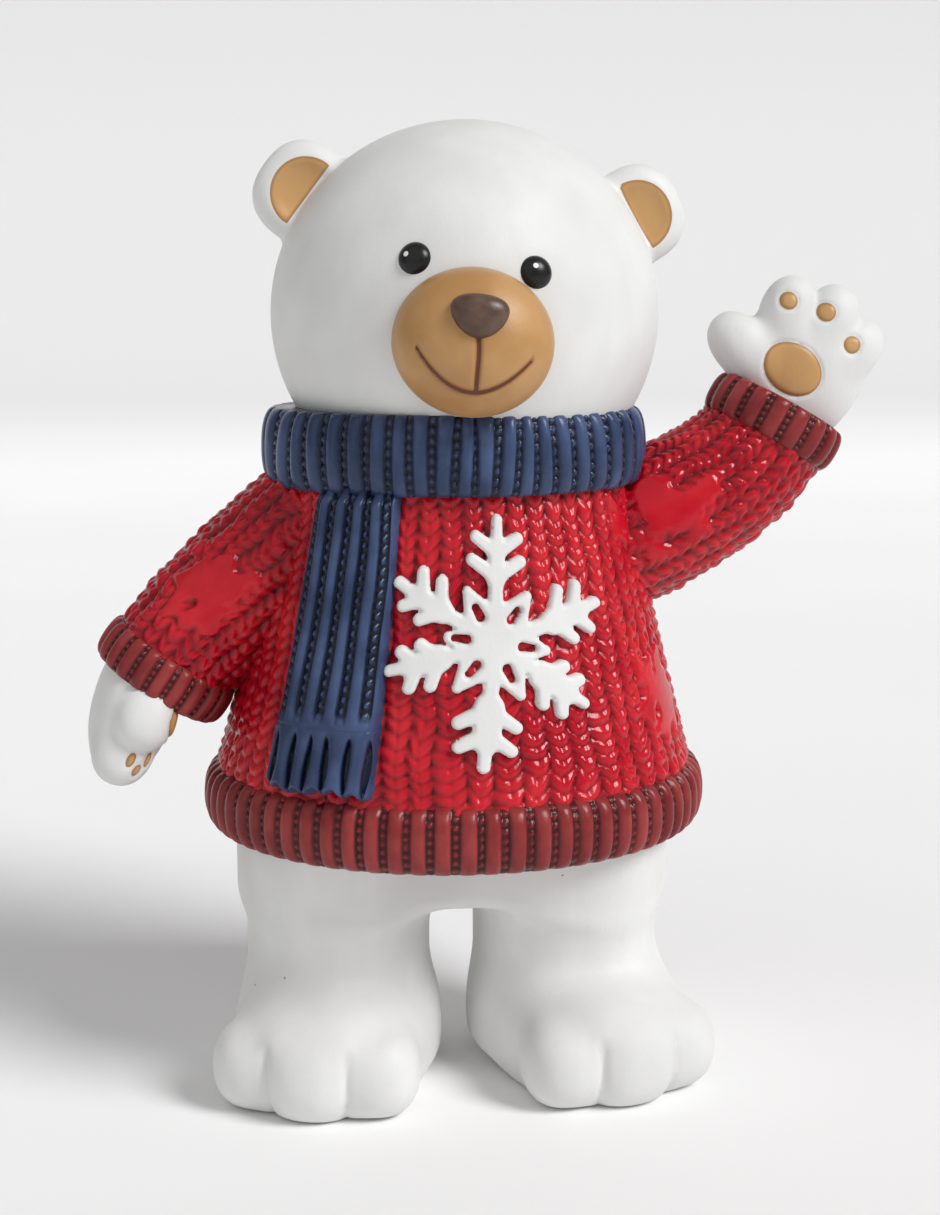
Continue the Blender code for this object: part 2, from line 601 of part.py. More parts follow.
def make_snowflake(collection, white):
    """A raised snowflake, drawn flat as one outline with a hole under each petal, then laid on the belly."""
    arms = [(radians(turn), share * SNOWFLAKE_REACH) for turn, share in SNOWFLAKE_ARMS]
    outline = []
    holes = []
    for i, (turn, length) in enumerate(arms):
        gap = (arms[(i + 1) % len(arms)][0] - turn) % (2 * pi)
        gap_before = (turn - arms[i - 1][0]) % (2 * pi)
        between = turn + gap / 2
        right = half_arm(length, gap)
        left = [np.array((-p[0], p[1])) for p in half_arm(length, gap_before)]
        outline += clockwise(left[:-1], turn) + clockwise(right[::-1], turn)
        reach = SNOWFLAKE_PETAL * min(1.0, gap / radians(56.0))
        petal_end = round_end(np.array((0.0, reach)), np.array((0.0, 1.0)), SNOWFLAKE_STROKE, 3)
        outline += clockwise(petal_end[::-1], between)
        holes.append(clockwise(snowflake_hole(), between))
    curve = bpy.data.curves.new("snowflake", "CURVE")
    curve.dimensions = "2D"
    curve.fill_mode = "BOTH"
    curve.extrude = SNOWFLAKE_THICKNESS
    for points in [outline, *holes]:
        spline = curve.splines.new("POLY")
        spline.points.add(len(points) - 1)
        for knot, place in zip(spline.points, points):
            knot.co = (place[0], place[1], 0.0, 1.0)
        spline.use_cyclic_u = True
    ob = curve_to_solid("snowflake", curve, white, collection)
    bm = bmesh.new()
    bm.from_mesh(ob.data)
    for aside in np.arange(-3.5, 4.0, 1.0) * SNOWFLAKE_FOLD:
        geometry = bm.verts[:] + bm.edges[:] + bm.faces[:]
        bmesh.ops.bisect_plane(bm, geom=geometry, plane_co=(aside, 0.0, 0.0), plane_no=(1.0, 0.0, 0.0))
    bmesh.ops.triangulate(bm, faces=[f for f in bm.faces if len(f.verts) > 4])
    bm.to_mesh(ob.data)
    bm.free()
    for vert in ob.data.vertices:
        height = SNOWFLAKE_HEIGHT + vert.co.y
        angle = SNOWFLAKE_ANGLE + vert.co.x / jumper_half_width(SNOWFLAKE_HEIGHT)
        vert.co = Vector(on_jumper(np.array(angle), np.array(height), vert.co.z))
    return ob


def make_head(collection, cutters, white, tan):
    """The round head with its two cupped ears."""
    size = (HEAD_HALF_WIDTH, HEAD_HALF_DEPTH, HEAD_HALF_HEIGHT)
    forms = [blob("head", head_centre(), size, white, collection, 2.0, None, (32, 16))]
    cups = []
    for side in (-1, 1):
        angle = EAR_ANGLE if side > 0 else pi - EAR_ANGLE
        angle -= EAR_TILT
        way = Vector((cos(angle), 0.0, sin(angle)))
        centre = head_centre() + Vector((HEAD_HALF_WIDTH * way.x, 0.0, HEAD_HALF_HEIGHT * way.z))
        centre += way * EAR_OUTSET
        turn = Matrix.Rotation(angle, 3, "Y").inverted()
        size = (EAR_RADIUS, EAR_HALF_THICKNESS, EAR_RADIUS)
        forms.append(blob(f"ear_{side}", centre, size, white, collection, 2.3, turn, (16, 8)))
        front = centre + Vector((0.0, -EAR_HALF_THICKNESS - EAR_CUP_DEPTH * 0.4, 0.0))
        size = (EAR_RADIUS * 0.70, EAR_CUP_DEPTH * 1.4, EAR_RADIUS * 0.70)
        cups.append(blob(f"ear_cup_{side}", front, size, tan, cutters, 2.0, turn, (12, 6)))
    return forms, cups


def muzzle_point(across, up, lift=0.0):
    """Point on the muzzle over a place across and up from its middle."""
    centre, _ = head_point(0.0, -MUZZLE_DROP)
    out = 1.0 - (across / MUZZLE_HALF_WIDTH) ** 2 - (up / MUZZLE_HALF_HEIGHT) ** 2
    return centre + face_turn() @ Vector((across, -MUZZLE_REACH * sqrt(out) - lift, up))


def make_face(collection, cutters, tan, brown, black):
    """Muzzle, nose and eyes, and the line of the smile that is cut into the muzzle."""
    turn = face_turn()
    centre, _ = head_point(0.0, -MUZZLE_DROP)
    size = (MUZZLE_HALF_WIDTH, MUZZLE_REACH, MUZZLE_HALF_HEIGHT)
    forms = [blob("muzzle", centre, size, tan, collection, 2.0, turn, (22, 11))]
    size = (NOSE_HALF_WIDTH, NOSE_HALF_DEPTH, NOSE_HALF_HEIGHT)
    nose = blob("nose", Vector((0.0, 0.0, 0.0)), size, brown, collection, 2.4, None, (12, 7))
    for vert in nose.data.vertices:
        vert.co.x *= 0.80 + 0.20 * vert.co.z / NOSE_HALF_HEIGHT
    nose.data.transform(Matrix.Translation(muzzle_point(0.0, NOSE_RISE, -NOSE_HALF_DEPTH * 0.2)) @ turn.to_4x4())
    forms.append(nose)
    for side in (-1, 1):
        place, way = head_point(side * EYE_SPREAD + EYE_SHIFT, EYE_RISE, EYE_RADIUS * 0.36)
        look = way.to_track_quat("-Y", "Z").to_matrix()
        size = (EYE_RADIUS, EYE_RADIUS * 0.75, EYE_RADIUS)
        forms.append(blob(f"eye_{side}", place, size, black, collection, 2.0, look, (10, 6)))
    grooves = []
    smile = []
    for across in np.linspace(-MOUTH_HALF_WIDTH, MOUTH_HALF_WIDTH, 13):
        rise = (MOUTH_MIDDLE_DROP - MOUTH_END_DROP) * (across / MOUTH_HALF_WIDTH) ** 2
        smile.append(muzzle_point(across, -MOUTH_MIDDLE_DROP + rise))
    grooves.append(tube("smile", smile, [MOUTH_GROOVE] * len(smile), 1, brown, cutters))
    line = [muzzle_point(0.0, up) for up in np.linspace(NOSE_RISE - NOSE_HALF_HEIGHT, -MOUTH_MIDDLE_DROP, 5)]
    grooves.append(tube("lip", line, [MOUTH_GROOVE * 1.2] * len(line), 1, brown, cutters))
    return forms, grooves


def join_forms(base, collection):
    """Join every form of a collection to the base in one exact union."""
    join = base.modifiers.new("casting", "BOOLEAN")
    join.operation = "UNION"
    join.solver = "EXACT"
    join.material_mode = "TRANSFER"
    join.operand_type = "COLLECTION"
    join.collection = collection


def cut_forms(base, cutters):
    """Cut each form out of the base."""
    for cutter in cutters:
        cut = base.modifiers.new(cutter.name, "BOOLEAN")
        cut.operation = "DIFFERENCE"
        cut.solver = "MANIFOLD"
        cut.material_mode = "TRANSFER"
        cut.object = cutter


def thin_out(base):
    """Merge the sliver triangles that the joins leave."""
    thin = base.modifiers.new("thin", "DECIMATE")
    thin.ratio = KEPT_TRIANGLES


def sole_cut(collection, white):
    """Everything under the floor, which leaves the soles flat."""
    reach = 2.0 * (FOOT_SPREAD + FOOT_HALF_LENGTH)
    bm = bmesh.new()
    bmesh.ops.create_cube(bm, size=1.0)
    placing = Matrix.Translation((0.0, 0.0, -0.5 * FOOT_HALF_HEIGHT))
    bm.transform(placing @ Matrix.Diagonal((2.0 * reach, 2.0 * reach, FOOT_HALF_HEIGHT, 1.0)))
    mesh = bpy.data.meshes.new("floor")
    bm.to_mesh(mesh)
    bm.free()
    return mesh_object("floor", mesh, white, collection)


def centre_on_footprint(base, forms):
    """Move the figure so that its box is centred on the origin. The forms ride on the base."""
    for form in forms:
        form.hide_render = True
        form.display_type = "WIRE"
        form.parent = base
    bpy.context.view_layer.update()
    evaluated = base.evaluated_get(bpy.context.evaluated_depsgraph_get())
    points = np.array([tuple(v.co) for v in evaluated.data.vertices])
    low, high = points.min(axis=0), points.max(axis=0)
    base.location = (-(low[0] + high[0]) / 2, -(low[1] + high[1]) / 2, 0.0)


def build():
    """Model every form, then join them into one casting."""
    clear_scene()
    figurine = new_collection("bear_figurine")
    parts = new_collection("bear_forms")
    cutters = new_collection("bear_cutters")
    white = paint("white_paint", WHITE, 0.55)
    red = paint("red_jumper_paint", RED, 0.35)
    brick = paint("brick_rib_paint", BRICK, 0.4)
    blue = paint("blue_scarf_paint", BLUE, 0.45)
    tan = paint("tan_paint", TAN, 0.45)
    brown = paint("brown_paint", BROWN, 0.35)
    black = paint("black_gloss", BLACK, 0.1)

    base = make_hips(figurine, white)
    forms = []
    for side in (-1, 1):
        forms.append(make_leg(side, parts, white))
        forms += make_foot(side, parts, white)
    forms += make_jumper(parts, red, brick)
    right_shoulder = (JUMPER_NECK_HEIGHT - RIGHT_SHOULDER_DROP, RIGHT_SHOULDER_SLOPE)
    left_shoulder = (JUMPER_NECK_HEIGHT - LEFT_SHOULDER_DROP, LEFT_SHOULDER_SLOPE)
    right_cuff = (right_cuff_centre(), RIGHT_CUFF_SLOPE, RIGHT_CUFF_RADIUS)
    left_cuff = (left_cuff_centre(), LEFT_CUFF_SLOPE, LEFT_CUFF_RADIUS)
    forms += make_arm(-1, *right_shoulder, *right_cuff, parts, red, brick)
    forms += make_arm(1, *left_shoulder, *left_cuff, parts, red, brick)
    forms += make_hanging_paw(parts, white)
    forms += make_raised_paw(parts, white)
    head_forms, cups = make_head(parts, cutters, white, tan)
    face_forms, grooves = make_face(parts, cutters, tan, brown, black)
    forms += head_forms + face_forms
    forms += make_scarf(parts, blue)
    forms.append(make_snowflake(parts, white))
    cuts = [*cups, *grooves, sole_cut(cutters, white)]
    join_forms(base, parts)
    cut_forms(base, cuts)
    thin_out(base)
    centre_on_footprint(base, forms + cuts)


build()
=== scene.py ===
"""Painted polar bear figurine in a knitted jumper and a ribbed scarf, waving, on a pale studio floor."""

import json
from math import cos, pi, radians, sin

import bpy
import numpy as np
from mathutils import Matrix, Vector


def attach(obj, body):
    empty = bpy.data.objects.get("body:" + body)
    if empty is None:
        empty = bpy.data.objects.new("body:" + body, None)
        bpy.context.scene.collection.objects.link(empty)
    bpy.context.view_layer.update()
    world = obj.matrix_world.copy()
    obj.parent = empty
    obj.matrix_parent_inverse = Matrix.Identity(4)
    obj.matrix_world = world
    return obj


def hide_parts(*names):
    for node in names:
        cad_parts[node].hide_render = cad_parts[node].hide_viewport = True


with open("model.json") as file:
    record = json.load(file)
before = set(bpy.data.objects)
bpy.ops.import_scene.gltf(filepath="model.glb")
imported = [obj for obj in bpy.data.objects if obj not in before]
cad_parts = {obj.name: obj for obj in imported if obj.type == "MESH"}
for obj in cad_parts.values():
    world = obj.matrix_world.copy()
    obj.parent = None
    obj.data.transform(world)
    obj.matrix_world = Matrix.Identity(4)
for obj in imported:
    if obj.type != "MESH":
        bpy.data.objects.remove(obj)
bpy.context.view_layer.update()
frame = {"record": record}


# Legs, feet and the strip of rump that shows under the jumper: the bare lower end of the casting.
# Cast resin, rubbed smooth and brushed with matt white paint. The whole figurine is one casting, so
# every piece below is a painted part of its skin. Sizes are in mm, with the bear facing -Y.
MM = 0.001
FOOT_FORWARD = 8.5
soles = [mount["pos_m"] for mount in frame["record"]["mounts"]]
FOOTPRINT = np.array([(soles[0][0] + soles[1][0]) / 2 / MM, soles[0][1] / MM + FOOT_FORWARD, 0.0])


def ball(points, centre, radii, power=2.0, turn=None):
    """Distance to a stretched ball, squared up when the power is over 2.

    In the ball's own turned axes its skin is |x/a|^p + |y/b|^p + |z/c|^p = 1. The distance is taken
    along the ray from its middle, below zero inside.
    """
    offset = points - np.array(centre, dtype=float)
    if turn is not None:
        offset = offset @ turn
    size = (np.abs(offset / np.array(radii, dtype=float)) ** power).sum(axis=1) ** (1.0 / power)
    size = np.maximum(size, 1e-6)
    return np.linalg.norm(offset, axis=1) * (size - 1.0) / size


def melt(first, second, reach):
    """Union of two forms with a fillet: the smaller distance, less a quadratic term within reach."""
    share = np.clip(0.5 + 0.5 * (second - first) / reach, 0.0, 1.0)
    return second + (first - second) * share - reach * share * (1.0 - share)


def trim(first, second, reach):
    """What lies inside both forms, with the edge between them rounded over reach."""
    return -melt(-first, -second, reach)


def spin(angle):
    """Axes, as columns, of a form turned by an angle about Z."""
    return np.array([[cos(angle), -sin(angle), 0.0], [sin(angle), cos(angle), 0.0], [0.0, 0.0, 1.0]])


def cast_form(field, low, high, step):
    """Points and four-sided faces of the skin where a field of distances is zero.

    The field is worked out on the corners of a block of cells. A cell that the skin passes through
    gets one point, the mean of the places where its edges cross zero, and each crossed edge gets a
    face between the four cells round it. The points then slide down the field's slope to zero.
    """
    axes = [np.arange(a, b + step, step) for a, b in zip(low, high)]
    corners = np.stack(np.meshgrid(*axes, indexing="ij"), axis=-1)
    value = field(corners.reshape(-1, 3)).reshape(corners.shape[:3])
    total = np.zeros(tuple(len(a) - 1 for a in axes) + (3,))
    hits = np.zeros(total.shape[:3])
    for axis in range(3):
        v, c = np.moveaxis(value, axis, 0), np.moveaxis(corners, axis, 0)
        crossed = (v[:-1] < 0) != (v[1:] < 0)
        share = np.where(crossed, v[:-1] / np.where(crossed, v[:-1] - v[1:], 1.0), 0.0)
        place = (c[:-1] + share[..., None] * (c[1:] - c[:-1])) * crossed[..., None]
        sums, counts = np.moveaxis(total, axis, 0), np.moveaxis(hits, axis, 0)
        n, m = crossed.shape[1] - 1, crossed.shape[2] - 1
        for s, t in ((0, 0), (0, 1), (1, 0), (1, 1)):
            sums += place[:, s : s + n, t : t + m]
            counts += crossed[:, s : s + n, t : t + m]
    active = hits > 0
    number = np.full(hits.shape, -1)
    number[active] = np.arange(active.sum())
    points = total[active] / hits[active][:, None]
    faces = []
    for axis in range(3):
        v, ids = np.moveaxis(value, axis, 0), np.moveaxis(number, axis, 0)
        crossed = (v[:-1] < 0) != (v[1:] < 0)
        i, j, k = np.nonzero(crossed[:, 1:-1, 1:-1])
        j, k = j + 1, k + 1
        quad = np.stack([ids[i, j - 1, k - 1], ids[i, j, k - 1], ids[i, j, k], ids[i, j - 1, k]], axis=1)
        back = (v[i, j, k] < 0) == (axis == 1)
        quad[back] = quad[back][:, ::-1]
        faces.append(quad)
    nudges = np.eye(3) * 0.02
    for _ in range(4):
        slope = np.stack([field(points + n) - field(points - n) for n in nudges], axis=1) / 0.04
        slide = field(points) / np.maximum((slope**2).sum(axis=1), 0.1)
        points = points - slope * np.clip(slide, -0.5 * step, 0.5 * step)[:, None]
    return points, np.vstack(faces)


def add_piece(name, points, faces, paint, **notes):
    """Make one painted piece of the skin. Notes are numbers that the paint reads at each point."""
    mesh = bpy.data.meshes.new(name)
    mesh.from_pydata(((points + FOOTPRINT) * MM).tolist(), [], [f for part in faces for f in part.tolist()])
    mesh.shade_smooth()
    for note, numbers in notes.items():
        mesh.attributes.new(note, "FLOAT", "POINT").data.foreach_set("value", np.ravel(numbers))
    mesh.materials.append(paint)
    piece = bpy.data.objects.new(name, mesh)
    bpy.context.scene.collection.objects.link(piece)
    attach(piece, "root")
    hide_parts("bear_figurine")
    return piece


def ripple(points, length, seed):
    """Smooth unevenness from -1 to 1: the mean of 12 sine waves that run in fixed random directions."""
    draw = np.random.default_rng(seed)
    ways = draw.normal(size=(12, 3))
    ways *= 2 * pi / (np.linalg.norm(ways, axis=1) * length * draw.uniform(0.6, 1.6, 12))[:, None]
    return np.clip(np.sin(points @ ways.T + draw.uniform(0, 2 * pi, 12)).mean(axis=-1) * 2.2, -1, 1)


class Paint:
    """A painted finish, made of nodes that all end in one shader."""

    def __init__(self, name, roughness, coat=0.0, specular=0.5):
        self.material = bpy.data.materials.new(name)
        self.material.use_nodes = True
        self.tree = self.material.node_tree
        self.shader = self.tree.nodes["Principled BSDF"]
        self.shader.inputs["Roughness"].default_value = roughness
        self.shader.inputs["Specular IOR Level"].default_value = specular
        self.shader.inputs["Coat Weight"].default_value = coat
        self.shader.inputs["Coat Roughness"].default_value = 0.12
        self.place = self.add("ShaderNodeTexCoord").outputs["Object"]

    def add(self, kind, **settings):
        """A new node with some of its settings."""
        node = self.tree.nodes.new(kind)
        for key, value in settings.items():
            setattr(node, key, value)
        return node

    def join(self, socket, target):
        """Link a socket to another, or set it to a plain value."""
        if isinstance(socket, bpy.types.NodeSocket):
            self.tree.links.new(socket, target)
        else:
            target.default_value = socket
        return target

    def noise(self, scale, detail=3.0, stretch=None):
        """Cloudy unevenness from 0 to 1, scale in waves per metre, perhaps stretched."""
        place = self.place
        if stretch is not None:
            mapping = self.add("ShaderNodeMapping")
            mapping.inputs["Scale"].default_value = stretch
            self.join(place, mapping.inputs["Vector"])
            place = mapping.outputs["Vector"]
        node = self.add("ShaderNodeTexNoise")
        self.join(place, node.inputs["Vector"])
        node.inputs["Scale"].default_value = scale
        node.inputs["Detail"].default_value = detail
        return node.outputs["Fac"]

    def note(self, name):
        """The number that the mesh keeps under a name."""
        return self.add("ShaderNodeAttribute", attribute_name=name).outputs["Fac"]

    def ramp(self, value, start, end, low=0.0, high=1.0):
        """Low below start, high above end, smooth between."""
        node = self.add("ShaderNodeMapRange", interpolation_type="SMOOTHSTEP")
        self.join(value, node.inputs["Value"])
        for key, number in zip(("From Min", "From Max", "To Min", "To Max"), (start, end, low, high)):
            node.inputs[key].default_value = number
        return node.outputs["Result"]

    def mix(self, share, first, second):
        """Colour between two, by a share."""
        node = self.add("ShaderNodeMix", data_type="RGBA")
        self.join(share, node.inputs[0])
        self.join(first, node.inputs[6])
        self.join(second, node.inputs[7])
        return node.outputs[2]

    def finish(self, colour, roughness=None, heights=()):
        """Wire the colour, the roughness and the fine bumps (height, depth in mm) to the shader."""
        self.join(colour, self.shader.inputs["Base Color"])
        if roughness is not None:
            self.join(roughness, self.shader.inputs["Roughness"])
        normal = None
        for height, depth in heights:
            bump = self.add("ShaderNodeBump")
            bump.inputs["Distance"].default_value = depth * MM
            self.join(height, bump.inputs["Height"])
            if normal is not None:
                self.join(normal, bump.inputs["Normal"])
            normal = bump.outputs["Normal"]
        if normal is not None:
            self.join(normal, self.shader.inputs["Normal"])
        return self.material


WHITE = (0.80, 0.80, 0.785, 1.0)
WHITE_SHADE = (0.70, 0.70, 0.69, 1.0)
TAN = (0.575, 0.330, 0.135, 1.0)
TAN_EDGE = (0.40, 0.20, 0.075, 1.0)
SPECK = (0.16, 0.14, 0.12, 1.0)


def white_paint(name, pads=False):
    """Matt white with faint brush marks and a few dark specks, and tan where the pads' note says."""
    paint = Paint(name, 0.55, specular=0.35)
    brush = paint.noise(260.0, 4.0, (1.0, 1.0, 0.25))
    cloud = paint.noise(45.0, 2.0)
    speck = paint.add("ShaderNodeTexVoronoi")
    speck.inputs["Scale"].default_value = 95.0
    paint.join(paint.place, speck.inputs["Vector"])
    colour = paint.mix(paint.ramp(cloud, 0.3, 0.75), WHITE, WHITE_SHADE)
    colour = paint.mix(paint.ramp(brush, 0.35, 0.8, 0.0, 0.35), colour, WHITE_SHADE)
    colour = paint.mix(paint.ramp(speck.outputs["Distance"], 0.012, 0.03, 0.75, 0.0), colour, SPECK)
    rough = paint.ramp(cloud, 0.3, 0.7, 0.46, 0.60)
    grain = paint.noise(1500.0, 3.0)
    if pads:
        distance = paint.note("pad")
        edge = paint.ramp(distance, -0.75, -0.1)
        tan = paint.mix(edge, TAN, TAN_EDGE)
        tan = paint.mix(paint.ramp(brush, 0.4, 0.75, 0.0, 0.25), tan, TAN_EDGE)
        colour = paint.mix(paint.ramp(distance, -0.12, 0.05), tan, colour)
        rough = paint.mix(paint.ramp(distance, -0.12, 0.05), (0.38, 0.38, 0.38, 1.0), rough)
    return paint.finish(colour, rough, [(brush, 0.10), (grain, 0.03)])


FOOT_HALF_SIZES = (18.6, 26.0, 14.5)
FOOT_SPREAD = 24.0
FOOT_CENTRE_HEIGHT = 8.5
FOOT_TURN_OUT = radians(16.5)
TOE_HALF_SIZES = (8.2, 9.4, 8.8)
TOE_STEP = radians(34.0)
LEG_SPREAD = 22.2
LEG_SHIFT = -0.7
LEG_HALF_WIDTH = 17.6
LEG_HALF_DEPTHS = (17.0, 28.0)
LEG_SQUARENESS = 2.4
LEG_TOP = 56.0
ANKLE_HEIGHT = 10.0
GROOVE_ASIDE = 7.6
GROOVE_FORWARD = 24.0
GROOVE_ACROSS = (0.966, 0.257)
RUMP_HALF_WIDTH = 40.0
RUMP_HALF_DEPTHS = (23.0, 25.5)
HEM_BOTTOM = 48.6
CROTCH_HEIGHT = 36.5


def leg_field(points, side):
    """Distance to one leg with its foot: a squared oval post melted into a ball with three toes.

    Between the toes the skin is sunk along a slanted line by a narrow and a wide bell curve.
    """
    turn = spin(side * FOOT_TURN_OUT)
    centre = np.array([side * FOOT_SPREAD, -FOOT_FORWARD, FOOT_CENTRE_HEIGHT])
    foot = ball(points, centre, FOOT_HALF_SIZES, 2.3, turn)
    toes = None
    for toe in (-1, 0, 1):
        angle = toe * TOE_STEP
        reach_x = (FOOT_HALF_SIZES[0] + 0.5 - TOE_HALF_SIZES[0]) * sin(angle) / sin(TOE_STEP)
        reach_y = -(FOOT_HALF_SIZES[1] + 0.3 - TOE_HALF_SIZES[1]) * cos(angle)
        place = centre + turn @ np.array([reach_x, reach_y, -0.6])
        form = ball(points, place, TOE_HALF_SIZES, 2.3, turn @ spin(angle * 0.5))
        toes = form if toes is None else melt(toes, form, 0.8)
    foot = melt(foot, toes, 1.6)
    local = (points - centre) @ turn
    for hand in (-1, 1):
        off_line = (hand * local[:, 0] - GROOVE_ASIDE) * GROOVE_ACROSS[0]
        off_line = off_line + (local[:, 1] + GROOVE_FORWARD) * GROOVE_ACROSS[1]
        in_front = np.clip((-10.0 - local[:, 1]) / 6.0, 0.0, 1.0)
        shown = np.clip((6.5 - local[:, 2]) / 3.0, 0.0, 1.0) * in_front
        line, valley = np.exp(-np.abs(off_line / 0.75) ** 1.5), np.exp(-((off_line / 2.6) ** 2))
        foot = foot + shown * (0.75 * line + 0.35 * valley)
    share = np.clip((points[:, 2] - ANKLE_HEIGHT) / (HEM_BOTTOM + 1.0 - ANKLE_HEIGHT), 0.0, 1.2)
    half_depth = LEG_HALF_DEPTHS[0] + (LEG_HALF_DEPTHS[1] - LEG_HALF_DEPTHS[0]) * share**1.3
    across = points[:, 0] - (side * LEG_SPREAD + LEG_SHIFT)
    size = np.abs(across / LEG_HALF_WIDTH) ** LEG_SQUARENESS
    size = (size + np.abs(points[:, 1] / half_depth) ** LEG_SQUARENESS) ** (1 / LEG_SQUARENESS)
    size = np.maximum(size, 1e-6)
    post = np.hypot(across, points[:, 1]) * (size - 1.0) / size
    post = np.maximum(post, np.maximum(points[:, 2] - LEG_TOP, ANKLE_HEIGHT - 4.0 - points[:, 2]))
    return melt(foot, post, 7.0)


def lower_body_field(points):
    """Distance to both legs, melted into the oval rump and cut off flat by the floor."""
    legs = np.minimum(leg_field(points, -1), leg_field(points, 1))
    share = np.clip((points[:, 2] - CROTCH_HEIGHT) / 10.0, 0.0, 1.0)
    half_depth = RUMP_HALF_DEPTHS[0] + (RUMP_HALF_DEPTHS[1] - RUMP_HALF_DEPTHS[0]) * share
    size = np.maximum(np.hypot(points[:, 0] / RUMP_HALF_WIDTH, points[:, 1] / half_depth), 1e-6)
    rump = np.hypot(points[:, 0], points[:, 1]) * (size - 1.0) / size
    rump = trim(rump, np.maximum(CROTCH_HEIGHT - 0.2 - points[:, 2], points[:, 2] - LEG_TOP), 3.0)
    return trim(melt(legs, rump, 8.0), -points[:, 2], 1.2)


points, faces = cast_form(lower_body_field, (-50.0, -50.0, -1.0), (50.0, 34.0, 58.0), 0.8)
add_piece("legs_and_feet", points, [faces], white_paint("matt_white_paint"))


# Jumper body: a bell of knitting with columns of stitches from the scarf to the hem.
# Carved before casting and flooded with glossy red, with painted shade that darkens it in the grooves.
# Some places are left smooth, where the carver's stitches were lost under thick paint.
NECK_HEIGHT = 114.0
NECK_HALF_WIDTH = 33.0
HEM_HALF_WIDTH = 45.6
HEM_TOP = 60.6
BODY_DEPTH = 0.88
BODY_COLUMNS = 54
BODY_ROWS = 138
COLUMN_POINTS = 12
STITCH = 2.45
KNIT_DEPTH = 1.55
KNIT_MIDDLE = 0.75
PATCH_LEVEL = 0.93

RED = (0.485, 0.004, 0.016, 1.0)
# Painted shade that darkens the red in the grooves between the stitches.
RED_GROOVE_SHADE = (0.085, 0.001, 0.005, 1.0)
RED_LIGHT = (0.65, 0.016, 0.026, 1.0)


def jumper_half_width(height):
    """Half width at a height: the neck's, plus a flare that grows as the drop to the power 1.12."""
    fall = np.clip((NECK_HEIGHT - height) / (NECK_HEIGHT - HEM_TOP), 0.0, 1.2)
    return NECK_HALF_WIDTH + (HEM_HALF_WIDTH - NECK_HALF_WIDTH) * fall**1.12


def on_jumper(angle, height, out):
    """Point on the oval bell at an angle from the front, a height and a distance outwards."""
    half = jumper_half_width(height)
    x = (half + out) * np.sin(angle)
    y = -(BODY_DEPTH * half + out) * np.cos(angle)
    return np.stack([x, y, height + 0 * half], axis=-1)


def ring_skin(rows):
    """Points and faces of a closed skin over rings of points, which a middle point closes at each end."""
    count, sides = rows.shape[:2]
    index = np.arange(count * sides).reshape(count, sides)
    after = np.roll(index, -1, axis=1)
    quads = np.stack([index[:-1], after[:-1], after[1:], index[1:]], axis=-1).reshape(-1, 4)
    first, last = np.full(sides, count * sides), np.full(sides, count * sides + 1)
    ends = np.vstack([np.stack([after[0], index[0], first], 1), np.stack([index[-1], after[-1], last], 1)])
    return np.vstack([rows.reshape(-1, 3), rows[0].mean(axis=0), rows[-1].mean(axis=0)]), [quads, ends]


def ring_note(numbers):
    """Numbers for each point of a ring skin, with their means for the two middle points."""
    return np.concatenate([numbers.ravel(), [numbers[0].mean(), numbers[-1].mean()]])


def knit(column, row, slack):
    """Height of stocking stitch, from 0 in the grooves to about 1 on the stitches.

    Each column is a round bar. Slanted leaves run down it as V shapes: a cosine of the row less a
    share of the distance from the bar's middle. Small bumps sit in the grooves between bars.
    """
    column = column + 0.16 * slack
    row = row + 0.40 * slack
    across = np.abs(2.0 * (column % 1.0) - 1.0)
    bar = np.sqrt(np.clip(1.0 - across**2.1, 0.0, 1.0))
    leaf = (0.5 + 0.5 * np.cos(2 * pi * (row - 0.60 * across))) ** 0.7
    seam = np.exp(-((across / 0.13) ** 2))
    dots = np.exp(-(((1.0 - across) / 0.17) ** 2)) * (0.5 + 0.5 * np.cos(2 * pi * (row + 0.2)))
    return 0.64 * bar + 0.36 * leaf * bar**0.6 - 0.17 * seam + 0.24 * dots


def smooth_patch(points, centre, radius, seed):
    """Share from 0 to 1 of a smooth spot: 1 within a radius that waves in and out like a splash."""
    offset = points - np.array(centre)
    far = np.linalg.norm(offset, axis=-1)
    edge = radius * (1.0 + 0.55 * ripple(points, radius * 0.8, seed))
    return np.clip((edge - far) / 1.2 + 0.5, 0.0, 1.0)


def flood(stitches, points, patches):
    """Stitches with smooth spots: in each patch (middle, radius, seed) they fade to one level."""
    for centre, radius, seed in patches:
        bare = smooth_patch(points, centre, radius, seed)
        stitches = stitches * (1.0 - bare) + PATCH_LEVEL * bare
    return stitches


def knit_paint(name):
    """Glossy red with painted shade in the grooves, uneven thick paint and fine brush marks."""
    paint = Paint(name, 0.30, coat=0.12, specular=0.24)
    relief = paint.note("relief")
    cloud = paint.noise(70.0, 3.0)
    brush = paint.noise(420.0, 3.0)
    top = paint.mix(paint.ramp(cloud, 0.35, 0.70), RED, RED_LIGHT)
    top = paint.mix(paint.ramp(brush, 0.45, 0.75, 0.0, 0.4), top, RED)
    # Painted shade: darker red in the grooves, where the relief is low.
    colour = paint.mix(paint.ramp(relief, 0.08, 0.80), RED_GROOVE_SHADE, top)
    rough = paint.ramp(cloud, 0.3, 0.7, 0.17, 0.30)
    return paint.finish(colour, rough, [(brush, 0.10), (paint.noise(1300.0, 2.0), 0.03)])


def around(count, each):
    """Angles of a full turn, with some points for each of a count of columns or ribs."""
    return 2 * pi * np.arange(count * each) / (count * each)


